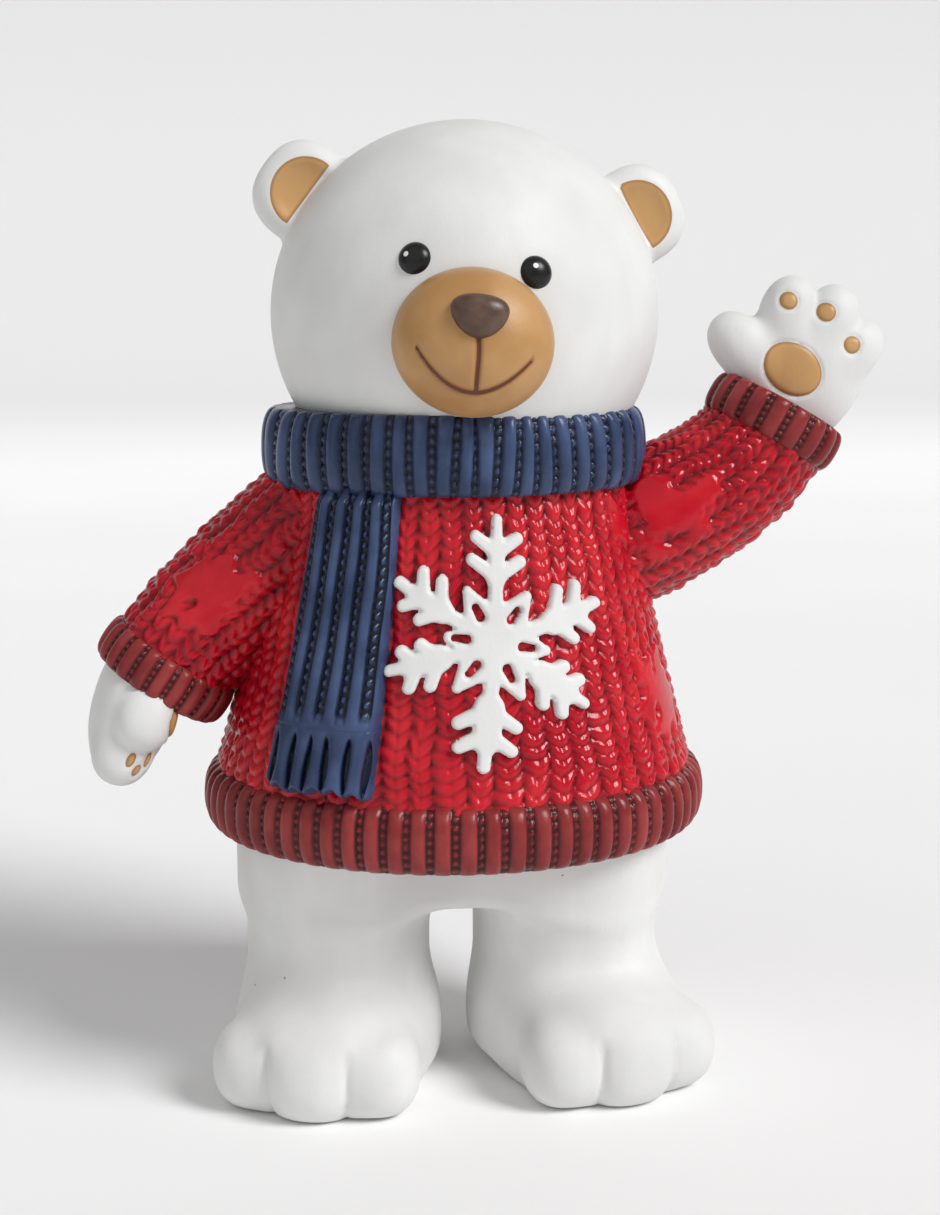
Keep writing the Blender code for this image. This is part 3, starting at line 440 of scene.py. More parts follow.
red_knit = knit_paint("glossy_red_paint")
angle, height = np.meshgrid(around(BODY_COLUMNS, COLUMN_POINTS), np.linspace(58.0, 118.0, BODY_ROWS))
bell = on_jumper(angle, height, 0.0)
stitches = knit(angle * BODY_COLUMNS / (2 * pi) + 0.5, height / STITCH, ripple(bell, 9.0, 3))
stitches = stitches * (0.86 + 0.14 * ripple(bell, 6.0, 5))
stitches = flood(
    stitches,
    bell,
    [((38.0, -20.0, 76.0), 7.5, 11), ((33.0, -17.0, 108.0), 6.0, 12), ((-10.0, 37.0, 92.0), 6.0, 13)],
)
points, faces = ring_skin(on_jumper(angle, height, KNIT_DEPTH * (stitches - KNIT_MIDDLE)))
add_piece("jumper_body", points, faces, red_knit, relief=ring_note(stitches))


# Sleeves: the bear's right one hangs and its left one is raised. The same knitting runs along them.
# They grow out of the jumper below the scarf and end inside the ribbed cuffs.
FRONT = np.array([0.0, -1.0, 0.0])
CUFF_LENGTH = 8.0
SLEEVE_COLUMNS = 20
SLEEVE_ROWS = 118
SLEEVE_SHOULDER_RADIUS = 15.3
SLEEVE_NARROWING = 3.3
RIGHT_CUFF = np.array([-54.6, -2.0, 79.2])
LEFT_CUFF = np.array([61.3, -1.0, 124.4])


def arm_way(side, slope):
    """Way out along an arm: to the side (-1 right, 1 left), at a slope in degrees above level."""
    return np.array([side * cos(radians(slope)), 0.0, sin(radians(slope))])


RIGHT_CUFF_WAY = arm_way(-1, -56.0)
LEFT_CUFF_WAY = arm_way(1, 61.0)


def sleeve(name, shoulder, shoulder_way, cuff, cuff_way, handles, patches):
    """A round sleeve along a cubic Bezier from the shoulder to the cuff, thinner towards the cuff.

    The handles are shares of the distance from the shoulder to the cuff, and the stitches lie at
    an angle round the path and a length along it.
    """
    end = cuff - cuff_way * CUFF_LENGTH * 0.1
    reach = np.linalg.norm(end - shoulder)
    first, second = shoulder + shoulder_way * reach * handles[0], end - cuff_way * reach * handles[1]
    t = np.linspace(0.0, 1.0, SLEEVE_ROWS)[:, None]
    path = shoulder * (1 - t) ** 3 + 3 * first * t * (1 - t) ** 2 + 3 * second * t**2 * (1 - t) + end * t**3
    way = np.gradient(path, axis=0)
    length = np.concatenate([[0.0], np.cumsum(np.linalg.norm(np.diff(path, axis=0), axis=1))])
    way /= np.linalg.norm(way, axis=1)[:, None]
    front = FRONT - way * (way @ FRONT)[:, None]
    front /= np.linalg.norm(front, axis=1)[:, None]
    side = np.cross(way, front)
    turn = around(SLEEVE_COLUMNS, COLUMN_POINTS)
    out = np.cos(turn)[None, :, None] * front[:, None] + np.sin(turn)[None, :, None] * side[:, None]
    radius = (SLEEVE_SHOULDER_RADIUS - SLEEVE_NARROWING * t)[:, :, None]
    tube = path[:, None] + radius * out
    slack = ripple(tube, 8.0, 21)
    stitches = knit(turn[None] * SLEEVE_COLUMNS / (2 * pi) + 0.5, -length[:, None] / STITCH, slack)
    stitches = flood(stitches * (0.80 + 0.20 * ripple(tube, 5.0, 23)), tube, patches)
    lift = KNIT_DEPTH * (stitches - KNIT_MIDDLE) * np.clip((1.0 - t) / 0.10, 0.15, 1.0)
    points, faces = ring_skin(path[:, None] + (radius + lift[..., None]) * out)
    add_piece(name, points, faces, red_knit, relief=ring_note(stitches))


sleeve(
    "sleeve_right",
    np.array([-22.0, -1.0, 107.5]),
    arm_way(-1, -35.0),
    RIGHT_CUFF,
    RIGHT_CUFF_WAY,
    (0.38, 0.20),
    [((-47.0, -14.0, 97.0), 6.5, 31)],
)
sleeve(
    "sleeve_left",
    np.array([22.0, -0.5, 99.5]),
    arm_way(1, 20.0),
    LEFT_CUFF,
    LEFT_CUFF_WAY,
    (0.40, 0.28),
    [((39.0, -14.0, 108.0), 7.0, 33)],
)


# Hem and cuffs: a thick ribbed roll under the jumper and one at the end of each sleeve.
# Round upright ribs with rows of small purl bumps in the grooves, painted brick red, with painted shade in
# the grooves.
HEM_MIDDLE = 54.8
HEM_HALF_HEIGHT = 6.2
HEM_INNER = 43.59
HEM_BULGE = 4.6
HEM_RIBS = 68
HEM_RIB_DEPTH = 1.3
CUFF_BULGE = 2.0
CUFF_RIB_DEPTH = 1.1
BRICK = (0.190, 0.012, 0.014, 1.0)
BRICK_LIGHT = (0.325, 0.040, 0.039, 1.0)
# Painted shade for the grooves between the ribs.
BRICK_GROOVE_SHADE = (0.060, 0.004, 0.005, 1.0)


def ribs(phase, along, pitch, width=0.66):
    """Height from 0 to 1 of round ribs, one for each whole phase, with bumps in the grooves.

    A rib is half an ellipse across its width. The bumps are a cosine along the groove, shifted from
    one groove to the next, that fades out towards the ribs.
    """
    across = np.abs(2.0 * (phase % 1.0) - 1.0)
    rib = np.sqrt(np.clip(1.0 - (across / width) ** 2, 0.0, 1.0)) ** 0.8
    groove = np.floor(phase + 0.5)
    bumps = 0.5 + 0.5 * np.cos(2 * pi * (along / pitch + 0.37 * groove))
    return rib + 0.60 * bumps**0.8 * np.exp(-(((1.0 - across) / 0.24) ** 2)) * (rib < 0.05)


def rib_paint(name, colours, roughness):
    """Satin paint for ribs: its own colour on the crests, with painted shade that darkens the grooves
    between them.
    """
    top, light, groove_shade = colours
    paint = Paint(name, roughness, coat=0.08, specular=0.28)
    relief = paint.note("relief")
    cloud = paint.noise(90.0, 3.0)
    brush = paint.noise(500.0, 3.0)
    crest = paint.mix(paint.ramp(cloud, 0.35, 0.70), top, light)
    crest = paint.mix(paint.ramp(brush, 0.45, 0.8, 0.0, 0.35), crest, top)
    # Painted shade: darker where the relief is low, in the grooves.
    colour = paint.mix(paint.ramp(relief, 0.05, 0.70), groove_shade, crest)
    rough = paint.ramp(cloud, 0.3, 0.7, roughness - 0.07, roughness + 0.07)
    return paint.finish(colour, rough, [(brush, 0.10), (paint.noise(1500.0, 2.0), 0.03)])


brick_ribs = rib_paint("brick_red_paint", (BRICK, BRICK_LIGHT, BRICK_GROOVE_SHADE), 0.34)


def rolled(middle, half_height, inner, bulge, count):
    """Profile of a roll: half of a squared oval that stands out from an inner radius.

    It gives the radius, the height and the share of the ribs' depth at each point, 0 at both ends.
    """
    t = np.linspace(-pi / 2, pi / 2, count)
    radius = inner + bulge * np.abs(np.cos(t)) ** 0.75
    height = middle + half_height * np.sign(np.sin(t)) * np.abs(np.sin(t)) ** 0.85
    return radius, height, np.cos(t) ** 0.5


def ribbed(radius, share, depth, relief):
    """Radius of a ribbed roll: the profile's, less the depth where the relief is low."""
    return radius[:, None] - depth * share[:, None] * (1.0 - np.minimum(relief, 1.2))


def oval_roll(name, angle, height, rim, oval, relief, paint):
    """An upright ring: x is the radius times the sine, y the same times the cosine and the oval's share."""
    rows = np.stack([rim * np.sin(angle), -oval * rim * np.cos(angle), height[:, None] + 0 * rim], axis=-1)
    points, faces = ring_skin(rows)
    add_piece(name, points, faces, paint, relief=ring_note(np.clip(relief, 0, 1)))


def drift(angle, stretch, length, seed):
    """Slow unevenness round a turn, from -1 to 1."""
    return ripple(np.stack([angle * stretch, 0 * angle, 0 * angle], axis=-1), length, seed)


radius, height, share = rolled(HEM_MIDDLE, HEM_HALF_HEIGHT, HEM_INNER, HEM_BULGE, 44)
angle = around(HEM_RIBS, 14)
phase = angle[None] * HEM_RIBS / (2 * pi) + 0.10 * drift(angle, 40, 12.0, 41)[None]
relief = ribs(phase, height[:, None], 1.55)
rim = ribbed(radius, share, HEM_RIB_DEPTH, relief)
oval_roll("jumper_hem", angle, height, rim, BODY_DEPTH, relief, brick_ribs)


def cuff(name, centre, way, size, count):
    """A ribbed roll round an axis: the profile of the roll turned about it."""
    radius, height, share = rolled(0.0, CUFF_LENGTH * 0.5, size - CUFF_BULGE, CUFF_BULGE, 40)
    angle = around(count, 16)
    relief = ribs(angle[None] * count / (2 * pi) + 0.3, height[:, None], 1.3, 0.7)
    rim = ribbed(radius, share, CUFF_RIB_DEPTH, relief)
    ring = np.cos(angle)[:, None] * FRONT + np.sin(angle)[:, None] * np.cross(way, FRONT)
    points, faces = ring_skin(centre + height[:, None, None] * way + rim[..., None] * ring)
    add_piece(name, points, faces, brick_ribs, relief=ring_note(np.clip(relief, 0, 1)))


cuff("cuff_right", RIGHT_CUFF, RIGHT_CUFF_WAY, 13.6, 22)
cuff("cuff_left", LEFT_CUFF, LEFT_CUFF_WAY, 13.7, 18)


# Paws: the right one hangs with its palm to the body, the left one waves with its palm to the front.
# Matt white like the head, with sunk tan pads: a large one in the palm, a small one at each finger.
PALM = 14.2
PAW_SQUARENESS = 2.2
paw_white = white_paint("matt_white_paint_with_pads", pads=True)


def paw(name, wrist, along, face, palm, palm_sizes, fingers, finger_sizes, thumb, pads, box, melts):
    """A paw as balls melted together in the hand's own axes: along it, across it and out of its palm.

    Places are in palm lengths from the wrist. A finger is its place and the angle it is turned by,
    and the thumb has its half sizes too. A pad is a place, two half sizes, a lean and a roll: an oval
    in a plane along the hand that is rolled from the palm to the front. The skin dips in a ring along
    its rim and stands a little proud inside, only on that plane's side.
    """
    axes = np.stack([along, np.cross(face, along), face], axis=1)

    def part(points, place, angle, half_sizes):
        """Distance to one squared ball of the paw."""
        centre = wrist + axes @ (np.array(place) * PALM)
        return ball(points, centre, half_sizes, PAW_SQUARENESS, axes @ spin(angle))

    def pad_distance(points):
        """Distance to the nearest pad, below zero inside it."""
        local = (points - wrist) @ axes
        nearest = np.full(len(points), 9.0)
        for x, y, half_x, half_y, lean, roll in pads:
            sideways = local[:, 1] * cos(roll) + local[:, 2] * sin(roll)
            height = local[:, 2] * cos(roll) - local[:, 1] * sin(roll)
            u = (local[:, 0] - x) * cos(lean) + (sideways - y) * sin(lean)
            v = (sideways - y) * cos(lean) - (local[:, 0] - x) * sin(lean)
            size = np.maximum(np.hypot(u / half_x, v / half_y), 1e-6)
            distance = np.hypot(u, v) * (size - 1.0) / size
            nearest = np.minimum(nearest, np.where(height > 0.5, distance, 9.0))
        return nearest

    def field(points):
        """Distance to the paw: palm, fingers and thumb, with the pads' rims sunk."""
        form = part(points, palm, 0.0, palm_sizes)
        for place in fingers:
            form = melt(form, part(points, place[:3], place[3], finger_sizes), melts[0])
        form = melt(form, part(points, thumb[:3], thumb[3], thumb[4]), melts[1])
        distance = pad_distance(points)
        return form + 0.32 * np.exp(-((distance / 0.34) ** 2)) - 0.15 * np.clip(-distance, 0.0, 1.0)

    points, faces = cast_form(field, wrist + np.array(box[0]), wrist + np.array(box[1]), 0.42)
    add_piece(name, points, [faces], paw_white, pad=pad_distance(points))


paw(
    "paw_left",
    LEFT_CUFF + LEFT_CUFF_WAY * CUFF_LENGTH * 0.4,
    along=LEFT_CUFF_WAY,
    face=FRONT,
    palm=(0.563, 0.0, 0.0),
    palm_sizes=(14.2, 12.0, 6.4),
    fingers=((1.056, 0.549, 0.028, 0.25), (1.232, 0.042, 0.056, 0.0), (1.030, -0.433, 0.028, -0.25)),
    finger_sizes=(8.0, 5.4, 5.2),
    thumb=(0.420, 0.890, 0.042, 1.22, (7.6, 5.2, 4.9)),
    pads=(
        (6.7, 3.2, 4.7, 5.9, -0.10, 0.0),
        (17.4, 10.1, 1.70, 1.70, 0.0, 0.0),
        (19.0, 2.8, 1.80, 1.80, 0.0, 0.0),
        (16.2, -4.7, 1.70, 1.70, 0.0, 0.0),
    ),
    box=((-20.0, -10.0, -12.0), (26.0, 10.0, 32.0)),
    melts=(1.1, 3.2),
)
HANGING_WAY = arm_way(-1, -72.0)
paw(
    "paw_right",
    RIGHT_CUFF + RIGHT_CUFF_WAY * CUFF_LENGTH * 0.4,
    along=HANGING_WAY,
    face=np.array([-HANGING_WAY[2], 0.0, HANGING_WAY[0]]),
    palm=(0.324, 0.0, -0.204),
    palm_sizes=(14.2, 11.5, 7.8),
    fingers=((0.803, 0.451, -0.18, 0.2), (0.859, 0.0, -0.19, 0.0), (0.789, -0.451, -0.18, -0.2)),
    finger_sizes=(8.0, 5.2, 5.9),
    thumb=(0.33, -0.64, -0.03, -0.25, (6.4, 5.3, 5.6)),
    pads=(
        (4.2, -3.4, 3.6, 4.6, 0.0, radians(33.0)),
        (12.8, -6.0, 1.5, 0.80, -0.2, radians(62.0)),
        (14.6, -4.3, 1.3, 0.80, -0.2, radians(62.0)),
        (12.4, -2.5, 1.5, 0.75, -0.2, radians(62.0)),
    ),
    box=((-22.0, -16.0, -26.0), (16.0, 16.0, 12.0)),
    melts=(1.2, 1.0),
)


# Scarf: a ribbed ring round the neck, with one end that hangs down the jumper and ends in a fringe.
# Moulded in the same casting, thick and rounded, and painted a dull blue, with painted shade that makes it
# near black in the rows of small holes between the ribs.
RING_LOW = 113.8
RING_HEIGHT = 14.2
RING_INNER = 33.4
RING_BULGE = 2.9
SCARF_DEPTH = 0.90
SCARF_RIBS = 46
SCARF_RIB_DEPTH = 1.3
BLUE = (0.027, 0.045, 0.106, 1.0)
BLUE_LIGHT = (0.060, 0.094, 0.205, 1.0)
# Painted shade for the grooves between the ribs and the slits of the fringe.
BLUE_GROOVE_SHADE = (0.004, 0.008, 0.024, 1.0)

blue_ribs = rib_paint("blue_scarf_paint", (BLUE, BLUE_LIGHT, BLUE_GROOVE_SHADE), 0.31)
radius, height, share = rolled(RING_LOW + RING_HEIGHT / 2, RING_HEIGHT / 2, RING_INNER, RING_BULGE, 52)
up = (height - RING_LOW) / RING_HEIGHT
angle = around(SCARF_RIBS, 18)
phase = SCARF_RIBS / (2 * pi) * (angle + 0.14 * np.sin(2 * angle))
phase = phase[None] + 0.35 * drift(angle, 30, 14.0, 51)[None] * up[:, None]
relief = ribs(phase, height[:, None], 1.75, 0.64)
rim = ribbed(radius - 0.25 * up, share, SCARF_RIB_DEPTH, relief)
oval_roll("scarf_ring", angle, height, rim, SCARF_DEPTH, relief, blue_ribs)

TAIL_MIDDLE = radians(-34.9)
TAIL_HALF = radians(14.0)
TAIL_THICKNESS = 4.0
TAIL_SUNK = 0.8
TAIL_GROOVE = 1.1
TAIL_POINTS = 130
TAIL_RIBS = 5
TAIL_END = 62.0
FRINGE_LENGTH = 12.0
FRINGE_TOP = TAIL_END + FRINGE_LENGTH
TASSELS = 6
TASSEL_SHIFT = 0.30
END_ROUND = 1.5
RING_FOOT = 114.0
TUCK_DEPTH = 3.4
STRIP_LEVEL = 0.9


def strip(name, heights, relief_of, ends, left_at_end):
    """A strip that lies on the jumper: its front follows the ribs, and its back is sunk in the jumper.

    Its thickness falls at the lower end along a quarter of a circle to a share of its full height, and
    falls towards the top where the strip comes out from under the ring. The strip leans slowly aside.
    """
    across = np.linspace(-1.0, 1.0, TAIL_POINTS)
    edge = (1.0 - np.abs(across) ** 10) ** 0.5
    relief = relief_of(across[None], heights[:, None])
    end = ends(across)[None]
    down = (heights[:, None] - heights[0]) / (heights[-1] - heights[0])
    height = heights[0] + (end - heights[0]) * down
    round_share = END_ROUND / abs(heights[-1] - heights[0])
    near_end = np.clip((down - 1.0 + round_share) / round_share, 0.0, 1.0)
    rounded = left_at_end + (1.0 - left_at_end) * np.sqrt(1.0 - near_end**2)
    tuck = np.clip((height - RING_FOOT + 2.0) / 5.0, 0.0, 1.0)
    thick = TAIL_THICKNESS + TAIL_SUNK - TUCK_DEPTH * tuck**2 * (3.0 - 2.0 * tuck)
    out = -TAIL_SUNK + thick * edge * rounded - TAIL_GROOVE * (1.0 - np.minimum(relief, 1.1)) * edge
    middle = TAIL_MIDDLE - 0.014 - 0.040 * (118.0 - height) / (118.0 - TAIL_END)
    front = on_jumper(middle + TAIL_HALF * across[None], height, out)
    back = on_jumper(middle[:, ::-1] + TAIL_HALF * across[None, ::-1], height[:, ::-1], -2.6 + 0 * out)
    rows = np.concatenate([front, back[:, 1:-1]], axis=1)[::-1]
    note = np.concatenate([relief, np.full((len(heights), TAIL_POINTS - 2), 0.5)], axis=1)[::-1]
    points, faces = ring_skin(rows)
    add_piece(name, points, faces, blue_ribs, relief=ring_note(np.clip(note, 0, 1)))


def tail_relief(across, height):
    """Five ribs down the scarf's end, one rib more at each edge, that run out just above the fringe."""
    bend = 0.10 * np.sin(height / 9.0) + 0.05 * np.sin(height / 3.7 + 3.0 * across)
    relief = ribs((across + 1.0) / 2.0 * TAIL_RIBS + 0.5 + 0.5 * bend, height, 1.9, 0.53)
    depth = np.clip((height - FRINGE_TOP - 0.4) / 2.2, 0.0, 1.0)
    return STRIP_LEVEL + (relief - STRIP_LEVEL) * depth


def fringe_relief(across, height):
    """Tassels side by side: round bars, with lens-shaped slits between them, shallow at both ends."""
    phase = (across + 1.0) / 2.0 * TASSELS + TASSEL_SHIFT + 0.05 * np.sin(height / 3.0 + 7.0 * across)
    phase = phase + 0.10 * np.sin(2.1 * phase)
    beside = np.abs(2.0 * (phase % 1.0) - 1.0)
    middle = np.sin(pi * np.clip((height - TAIL_END) / FRINGE_LENGTH, 0.0, 1.0) ** 0.9)
    bars = np.sqrt(np.clip(1.0 - (beside / (1.04 - 0.30 * middle**1.5)) ** 2.6, 0.0, 1.0))
    depth = np.clip(0.25 + 1.4 * middle, 0.0, 1.0) * np.clip((FRINGE_TOP - height) / 1.8, 0.0, 1.0)
    return STRIP_LEVEL + (1.5 * bars - 1.4) * depth


def tail_ends(across):
    """The tail's lower edge is level and reaches a little into the fringe."""
    return FRINGE_TOP - 0.7 + 0 * across


def fringe_ends(across):
    """The fringe's lower edge is a cosine with one wave for each tassel, on a slower wave."""
    waves = np.cos(2 * pi * (TASSEL_SHIFT + (across + 1.0) / 2.0 * TASSELS))
    return TAIL_END + 0.5 - 0.5 * waves + 0.35 * np.sin(5.1 * across)


strip("scarf_tail", np.linspace(117.0, 73.0, 170), tail_relief, tail_ends, 0.90)
strip("scarf_fringe", np.linspace(FRINGE_TOP, TAIL_END, 80), fringe_relief, fringe_ends, 0.0)


# Snowflake: a flat plate with rounded edges in front of the belly, proud of the knitting.
# Part of the casting, painted white. Its six arms differ a little: each is a turn in degrees, a
# length and half the width of its broad end.
FLAKE_HEIGHT = 88.9
FLAKE_ANGLE = radians(4.6)
FLAKE_ARMS = (
    (4.0, 22.0, 1.7),
    (75.0, 22.6, 2.2),
    (127.0, 20.0, 2.5),
    (187.0, 22.2, 2.5),
    (255.0, 19.5, 2.3),
    (301.0, 21.0, 2.0),
)
FLAKE_MIDDLE = 7.0
FLAKE_PETAL = 10.6
FLAKE_THICKNESS = 1.5
FLAKE_EDGE = 0.75
FLAKE_SUNK = 1.2
TWIGS = ((0.51, 0.635, 0.21), (0.70, 0.815, 0.185))


def stroke(points, start, end, half, half_end=None):
    """Distance in the plane to a bar with round ends, which may narrow from one end to the other.

    It is the distance to the nearest point of the middle line, less the half width there.
    """
    start, end = np.array(start), np.array(end)
    along = np.clip(((points - start) @ (end - start)) / ((end - start) @ (end - start)), 0.0, 1.0)
    half = half + ((half if half_end is None else half_end) - half) * along
    return np.linalg.norm(points - start - along[..., None] * (end - start), axis=-1) - half


def flake_distance(points):
    """Distance in the plane to the snowflake: bars for arms, branches and petals, less six long holes."""
    shape = np.linalg.norm(points, axis=-1) - FLAKE_MIDDLE
    for i, (turn, length, broad) in enumerate(FLAKE_ARMS):
        turn = radians(turn)
        gap_after = (radians(FLAKE_ARMS[(i + 1) % 6][0]) - turn) % (2 * pi)
        gap_before = (turn - radians(FLAKE_ARMS[i - 1][0])) % (2 * pi)
        way, side = np.array([sin(turn), cos(turn)]), np.array([cos(turn), -sin(turn)])
        shape = melt(shape, stroke(points, 0 * way, way * (length - 1.0), 1.5, 1.0), 0.6)
        arm = stroke(points, way * length * 0.50, way * length * 0.77, broad, broad * 0.8)
        for hand, gap in ((1.0, gap_after), (-1.0, gap_before)):
            room = min(1.0, gap / radians(62.0))
            for root, tip, out in TWIGS:
                end = way * length * tip + side * hand * length * out * room
                arm = melt(arm, stroke(points, way * length * root, end, 1.35, 1.1), 0.7)
        shape = melt(shape, arm, 0.6)
        middle = turn + gap_after / 2
        reach = FLAKE_PETAL * min(1.0, gap_after / radians(56.0)) - 0.7
        petal = np.array([sin(middle), cos(middle)]) * reach
        shape = melt(shape, stroke(points, 0.4 * petal, petal, 3.6, 0.9), 0.8)
    for i, (turn, _, _) in enumerate(FLAKE_ARMS):
        gap = (radians(FLAKE_ARMS[(i + 1) % 6][0]) - radians(turn)) % (2 * pi)
        way = np.array([sin(radians(turn) + gap / 2), cos(radians(turn) + gap / 2)])
        hole = stroke(points, way * 4.9, way * 6.9, 0.86, 0.70)
        shape = trim(shape, -hole, 0.3)
    return shape


def plate_faces(kept):
    """Faces of a plate cut from a grid: the kept cells above and below, and walls along their edges."""
    rows, columns = kept.shape[0] + 1, kept.shape[1] + 1
    index = np.arange(rows * columns).reshape(rows, columns)
    under = index + rows * columns
    i, j = np.nonzero(kept)
    top = np.stack([index[i, j], index[i, j + 1], index[i + 1, j + 1], index[i + 1, j]], axis=1)
    low = np.stack([under[i, j], under[i + 1, j], under[i + 1, j + 1], under[i, j + 1]], axis=1)
    walls = []
    framed = np.pad(kept, 1)
    sides = (
        (-1, 0, (0, 0), (0, 1)),
        (1, 0, (1, 1), (1, 0)),
        (0, -1, (1, 0), (0, 0)),
        (0, 1, (0, 1), (1, 1)),
    )
    for di, dj, a, b in sides:
        bare = kept & ~framed[1 + di : 1 + di + kept.shape[0], 1 + dj : 1 + dj + kept.shape[1]]
        i, j = np.nonzero(bare)
        p, q = (i + a[0], j + a[1]), (i + b[0], j + b[1])
        walls.append(np.stack([index[q], index[p], under[p], under[q]], axis=1))
    return np.vstack([top, low, *walls])


def drop_unused(points, faces):
    """Leave out the points that no face uses."""
    used, fresh = np.unique(faces, return_inverse=True)
    return points[used], fresh.reshape(faces.shape)


# The grid's points near the outline move onto it, and the upper edge is rounded like a quarter circle.
cell = 0.26
span = np.arange(-25.0, 25.0 + cell, cell)
flat = np.stack(np.meshgrid(span, span, indexing="xy"), axis=-1)
distance = flake_distance(flat)
slope = np.stack([np.gradient(distance, cell, axis=1), np.gradient(distance, cell, axis=0)], axis=-1)
rim = np.abs(distance) < 0.62 * cell
flat = flat - np.where(rim, distance, 0.0)[..., None] * slope
distance = np.where(rim, 0.0, distance)
inside = distance <= 0
kept = inside[:-1, :-1] & inside[1:, :-1] & inside[:-1, 1:] & inside[1:, 1:]
inset = np.clip(-distance / FLAKE_EDGE, 0.0, 1.0)
height = FLAKE_HEIGHT + flat[..., 1]
angle = FLAKE_ANGLE + flat[..., 0] / jumper_half_width(FLAKE_HEIGHT)
lift = FLAKE_THICKNESS - 0.62 * (1.0 - np.sqrt(np.clip(1.0 - (1.0 - inset) ** 2, 0.0, 1.0)))
lift = lift + 0.08 * ripple(np.stack([flat[..., 0], flat[..., 1], 0 * angle], axis=-1), 7.0, 61)
upper = on_jumper(angle, height, lift)
lower = on_jumper(angle, height, -FLAKE_SUNK + 0 * lift)
points = np.vstack([upper.reshape(-1, 3), lower.reshape(-1, 3)])
points, faces = drop_unused(points, plate_faces(kept))
add_piece("snowflake", points, [faces], white_paint("snowflake_white_paint"))


# Head: a round ball with two cupped ears, white, with tan inside the ears.
# Cast with the body and rubbed smooth, so that only faint brush marks show.
HEAD = np.array([2.0, -0.3, 144.8])
HEAD_HALF_SIZES = (36.0, 34.5, 35.2)
EAR_RADIUS = 9.2
EAR_HALF_THICKNESS = 4.2
EAR_RISE = radians(33.6)
HEAD_LEAN = radians(3.6)
EAR_ANGLES = (pi - EAR_RISE - HEAD_LEAN, EAR_RISE - HEAD_LEAN)
LINING_RADIUS = 6.6


def ear_axes(angle):
    """Middle of an ear and its axes: away from the head, along its rim, and to the front."""
    way = np.array([cos(angle), 0.0, sin(angle)])
    centre = HEAD + np.array([HEAD_HALF_SIZES[0] * way[0], 0.0, HEAD_HALF_SIZES[2] * way[2]]) + way * 0.7
    return centre, np.stack([way, np.array([-way[2], 0.0, way[0]]), FRONT], axis=1)


def ear_note(points):
    """Distance to the tan lining: a disc cut off straight on the head's side, in front only."""
    nearest = np.full(len(points), 9.0)
    for angle in EAR_ANGLES:
        centre, axes = ear_axes(angle)
        local = (points - centre) @ axes
        disc = np.maximum(np.hypot(local[:, 0], local[:, 1]) - LINING_RADIUS, -0.4 - local[:, 0])
        nearest = np.minimum(nearest, np.where(local[:, 2] > 0.3, disc, 9.0))
    return nearest


def head_field(points):
    """Distance to the head's ball melted into two thick discs, each dished in front."""
    form = ball(points, HEAD, HEAD_HALF_SIZES)
    for angle in EAR_ANGLES:
        centre, axes = ear_axes(angle)
        ear = ball(points, centre, (EAR_RADIUS, EAR_RADIUS, EAR_HALF_THICKNESS), 2.4, axes)
        dish = ball(points, centre + axes @ np.array([0.2, 0.0, 4.9]), (6.7, 6.7, 2.7), 2.2, axes)
        form = melt(form, trim(ear, -dish, 0.7), 1.3)
    return form


points, faces = cast_form(head_field, (-42.0, -37.0, 106.96), (48.0, 36.0, 181.0), 0.72)
add_piece("head_and_ears", points, [faces], paw_white, pad=ear_note(points))


# Muzzle, nose and eyes. The muzzle is a smooth tan ball with the smile engraved and painted brown.
# The nose is a dark brown rounded triangle, and the eyes are small glossy black domes with a dot.
FACE_TURN = radians(-3.7)
FACE_TILT = radians(6.4)
MUZZLE_HALF_SIZES = (13.8, 10.5, 12.6)
MUZZLE_DROP = 4.3
NOSE_RISE = 4.5
NOSE_HALF_SIZES = (5.5, 2.85, 3.75)
MOUTH_HALF_WIDTH = 9.6
MOUTH_LOW = -8.0
MOUTH_RISE = 6.3
MOUTH_GROOVE = 0.45
tilt = np.array(
    [[cos(FACE_TILT), 0.0, sin(FACE_TILT)], [0.0, 1.0, 0.0], [-sin(FACE_TILT), 0.0, cos(FACE_TILT)]]
)
face_axes = spin(FACE_TURN) @ tilt


def on_head(across, up):
    """Point on the head's ball over a place across and up the face, and the way out there."""
    out = 1.0 - (across / HEAD_HALF_SIZES[0]) ** 2 - (up / HEAD_HALF_SIZES[2]) ** 2
    local = np.array([across, -HEAD_HALF_SIZES[1] * out**0.5, up])
    return HEAD + face_axes @ local, face_axes @ (local / np.linalg.norm(local))


muzzle_centre = on_head(0.0, -MUZZLE_DROP)[0]


def mouth_distance(points):
    """Distance on the face to the smile, a parabola, and to the line from the nose down to it."""
    local = (points - muzzle_centre) @ face_axes
    x, z = local[:, 0], local[:, 2]
    bend = MOUTH_LOW + MOUTH_RISE * (x / MOUTH_HALF_WIDTH) ** 2
    slope = 2 * MOUTH_RISE * x / MOUTH_HALF_WIDTH**2
    beyond = np.maximum(np.abs(x) - MOUTH_HALF_WIDTH, 0.0)
    smile = np.hypot((z - bend) / np.sqrt(1.0 + slope**2), beyond * 1.5)
    half_width = 0.30 - 0.12 * np.clip(np.abs(x) / MOUTH_HALF_WIDTH, 0.0, 1.0) ** 2
    above_or_below = np.maximum(MOUTH_LOW - z, 0.0) + np.maximum(z - 1.0, 0.0)
    lip = np.hypot(x - 0.13 * (1.0 - z) - 0.25 * np.sin((z + 4.0) / 3.0), above_or_below)
    distance = np.minimum(smile - half_width, lip - 0.32)
    return np.where(local[:, 1] < 0.0, distance, 9.0)


def muzzle_field(points):
    """Distance to the muzzle's ball, with a groove along the mouth whose profile is a bell curve."""
    groove = np.exp(-((np.maximum(mouth_distance(points) + 0.15, 0.0) / 0.35) ** 2))
    return ball(points, muzzle_centre, MUZZLE_HALF_SIZES, 2.0, face_axes) + MOUTH_GROOVE * groove


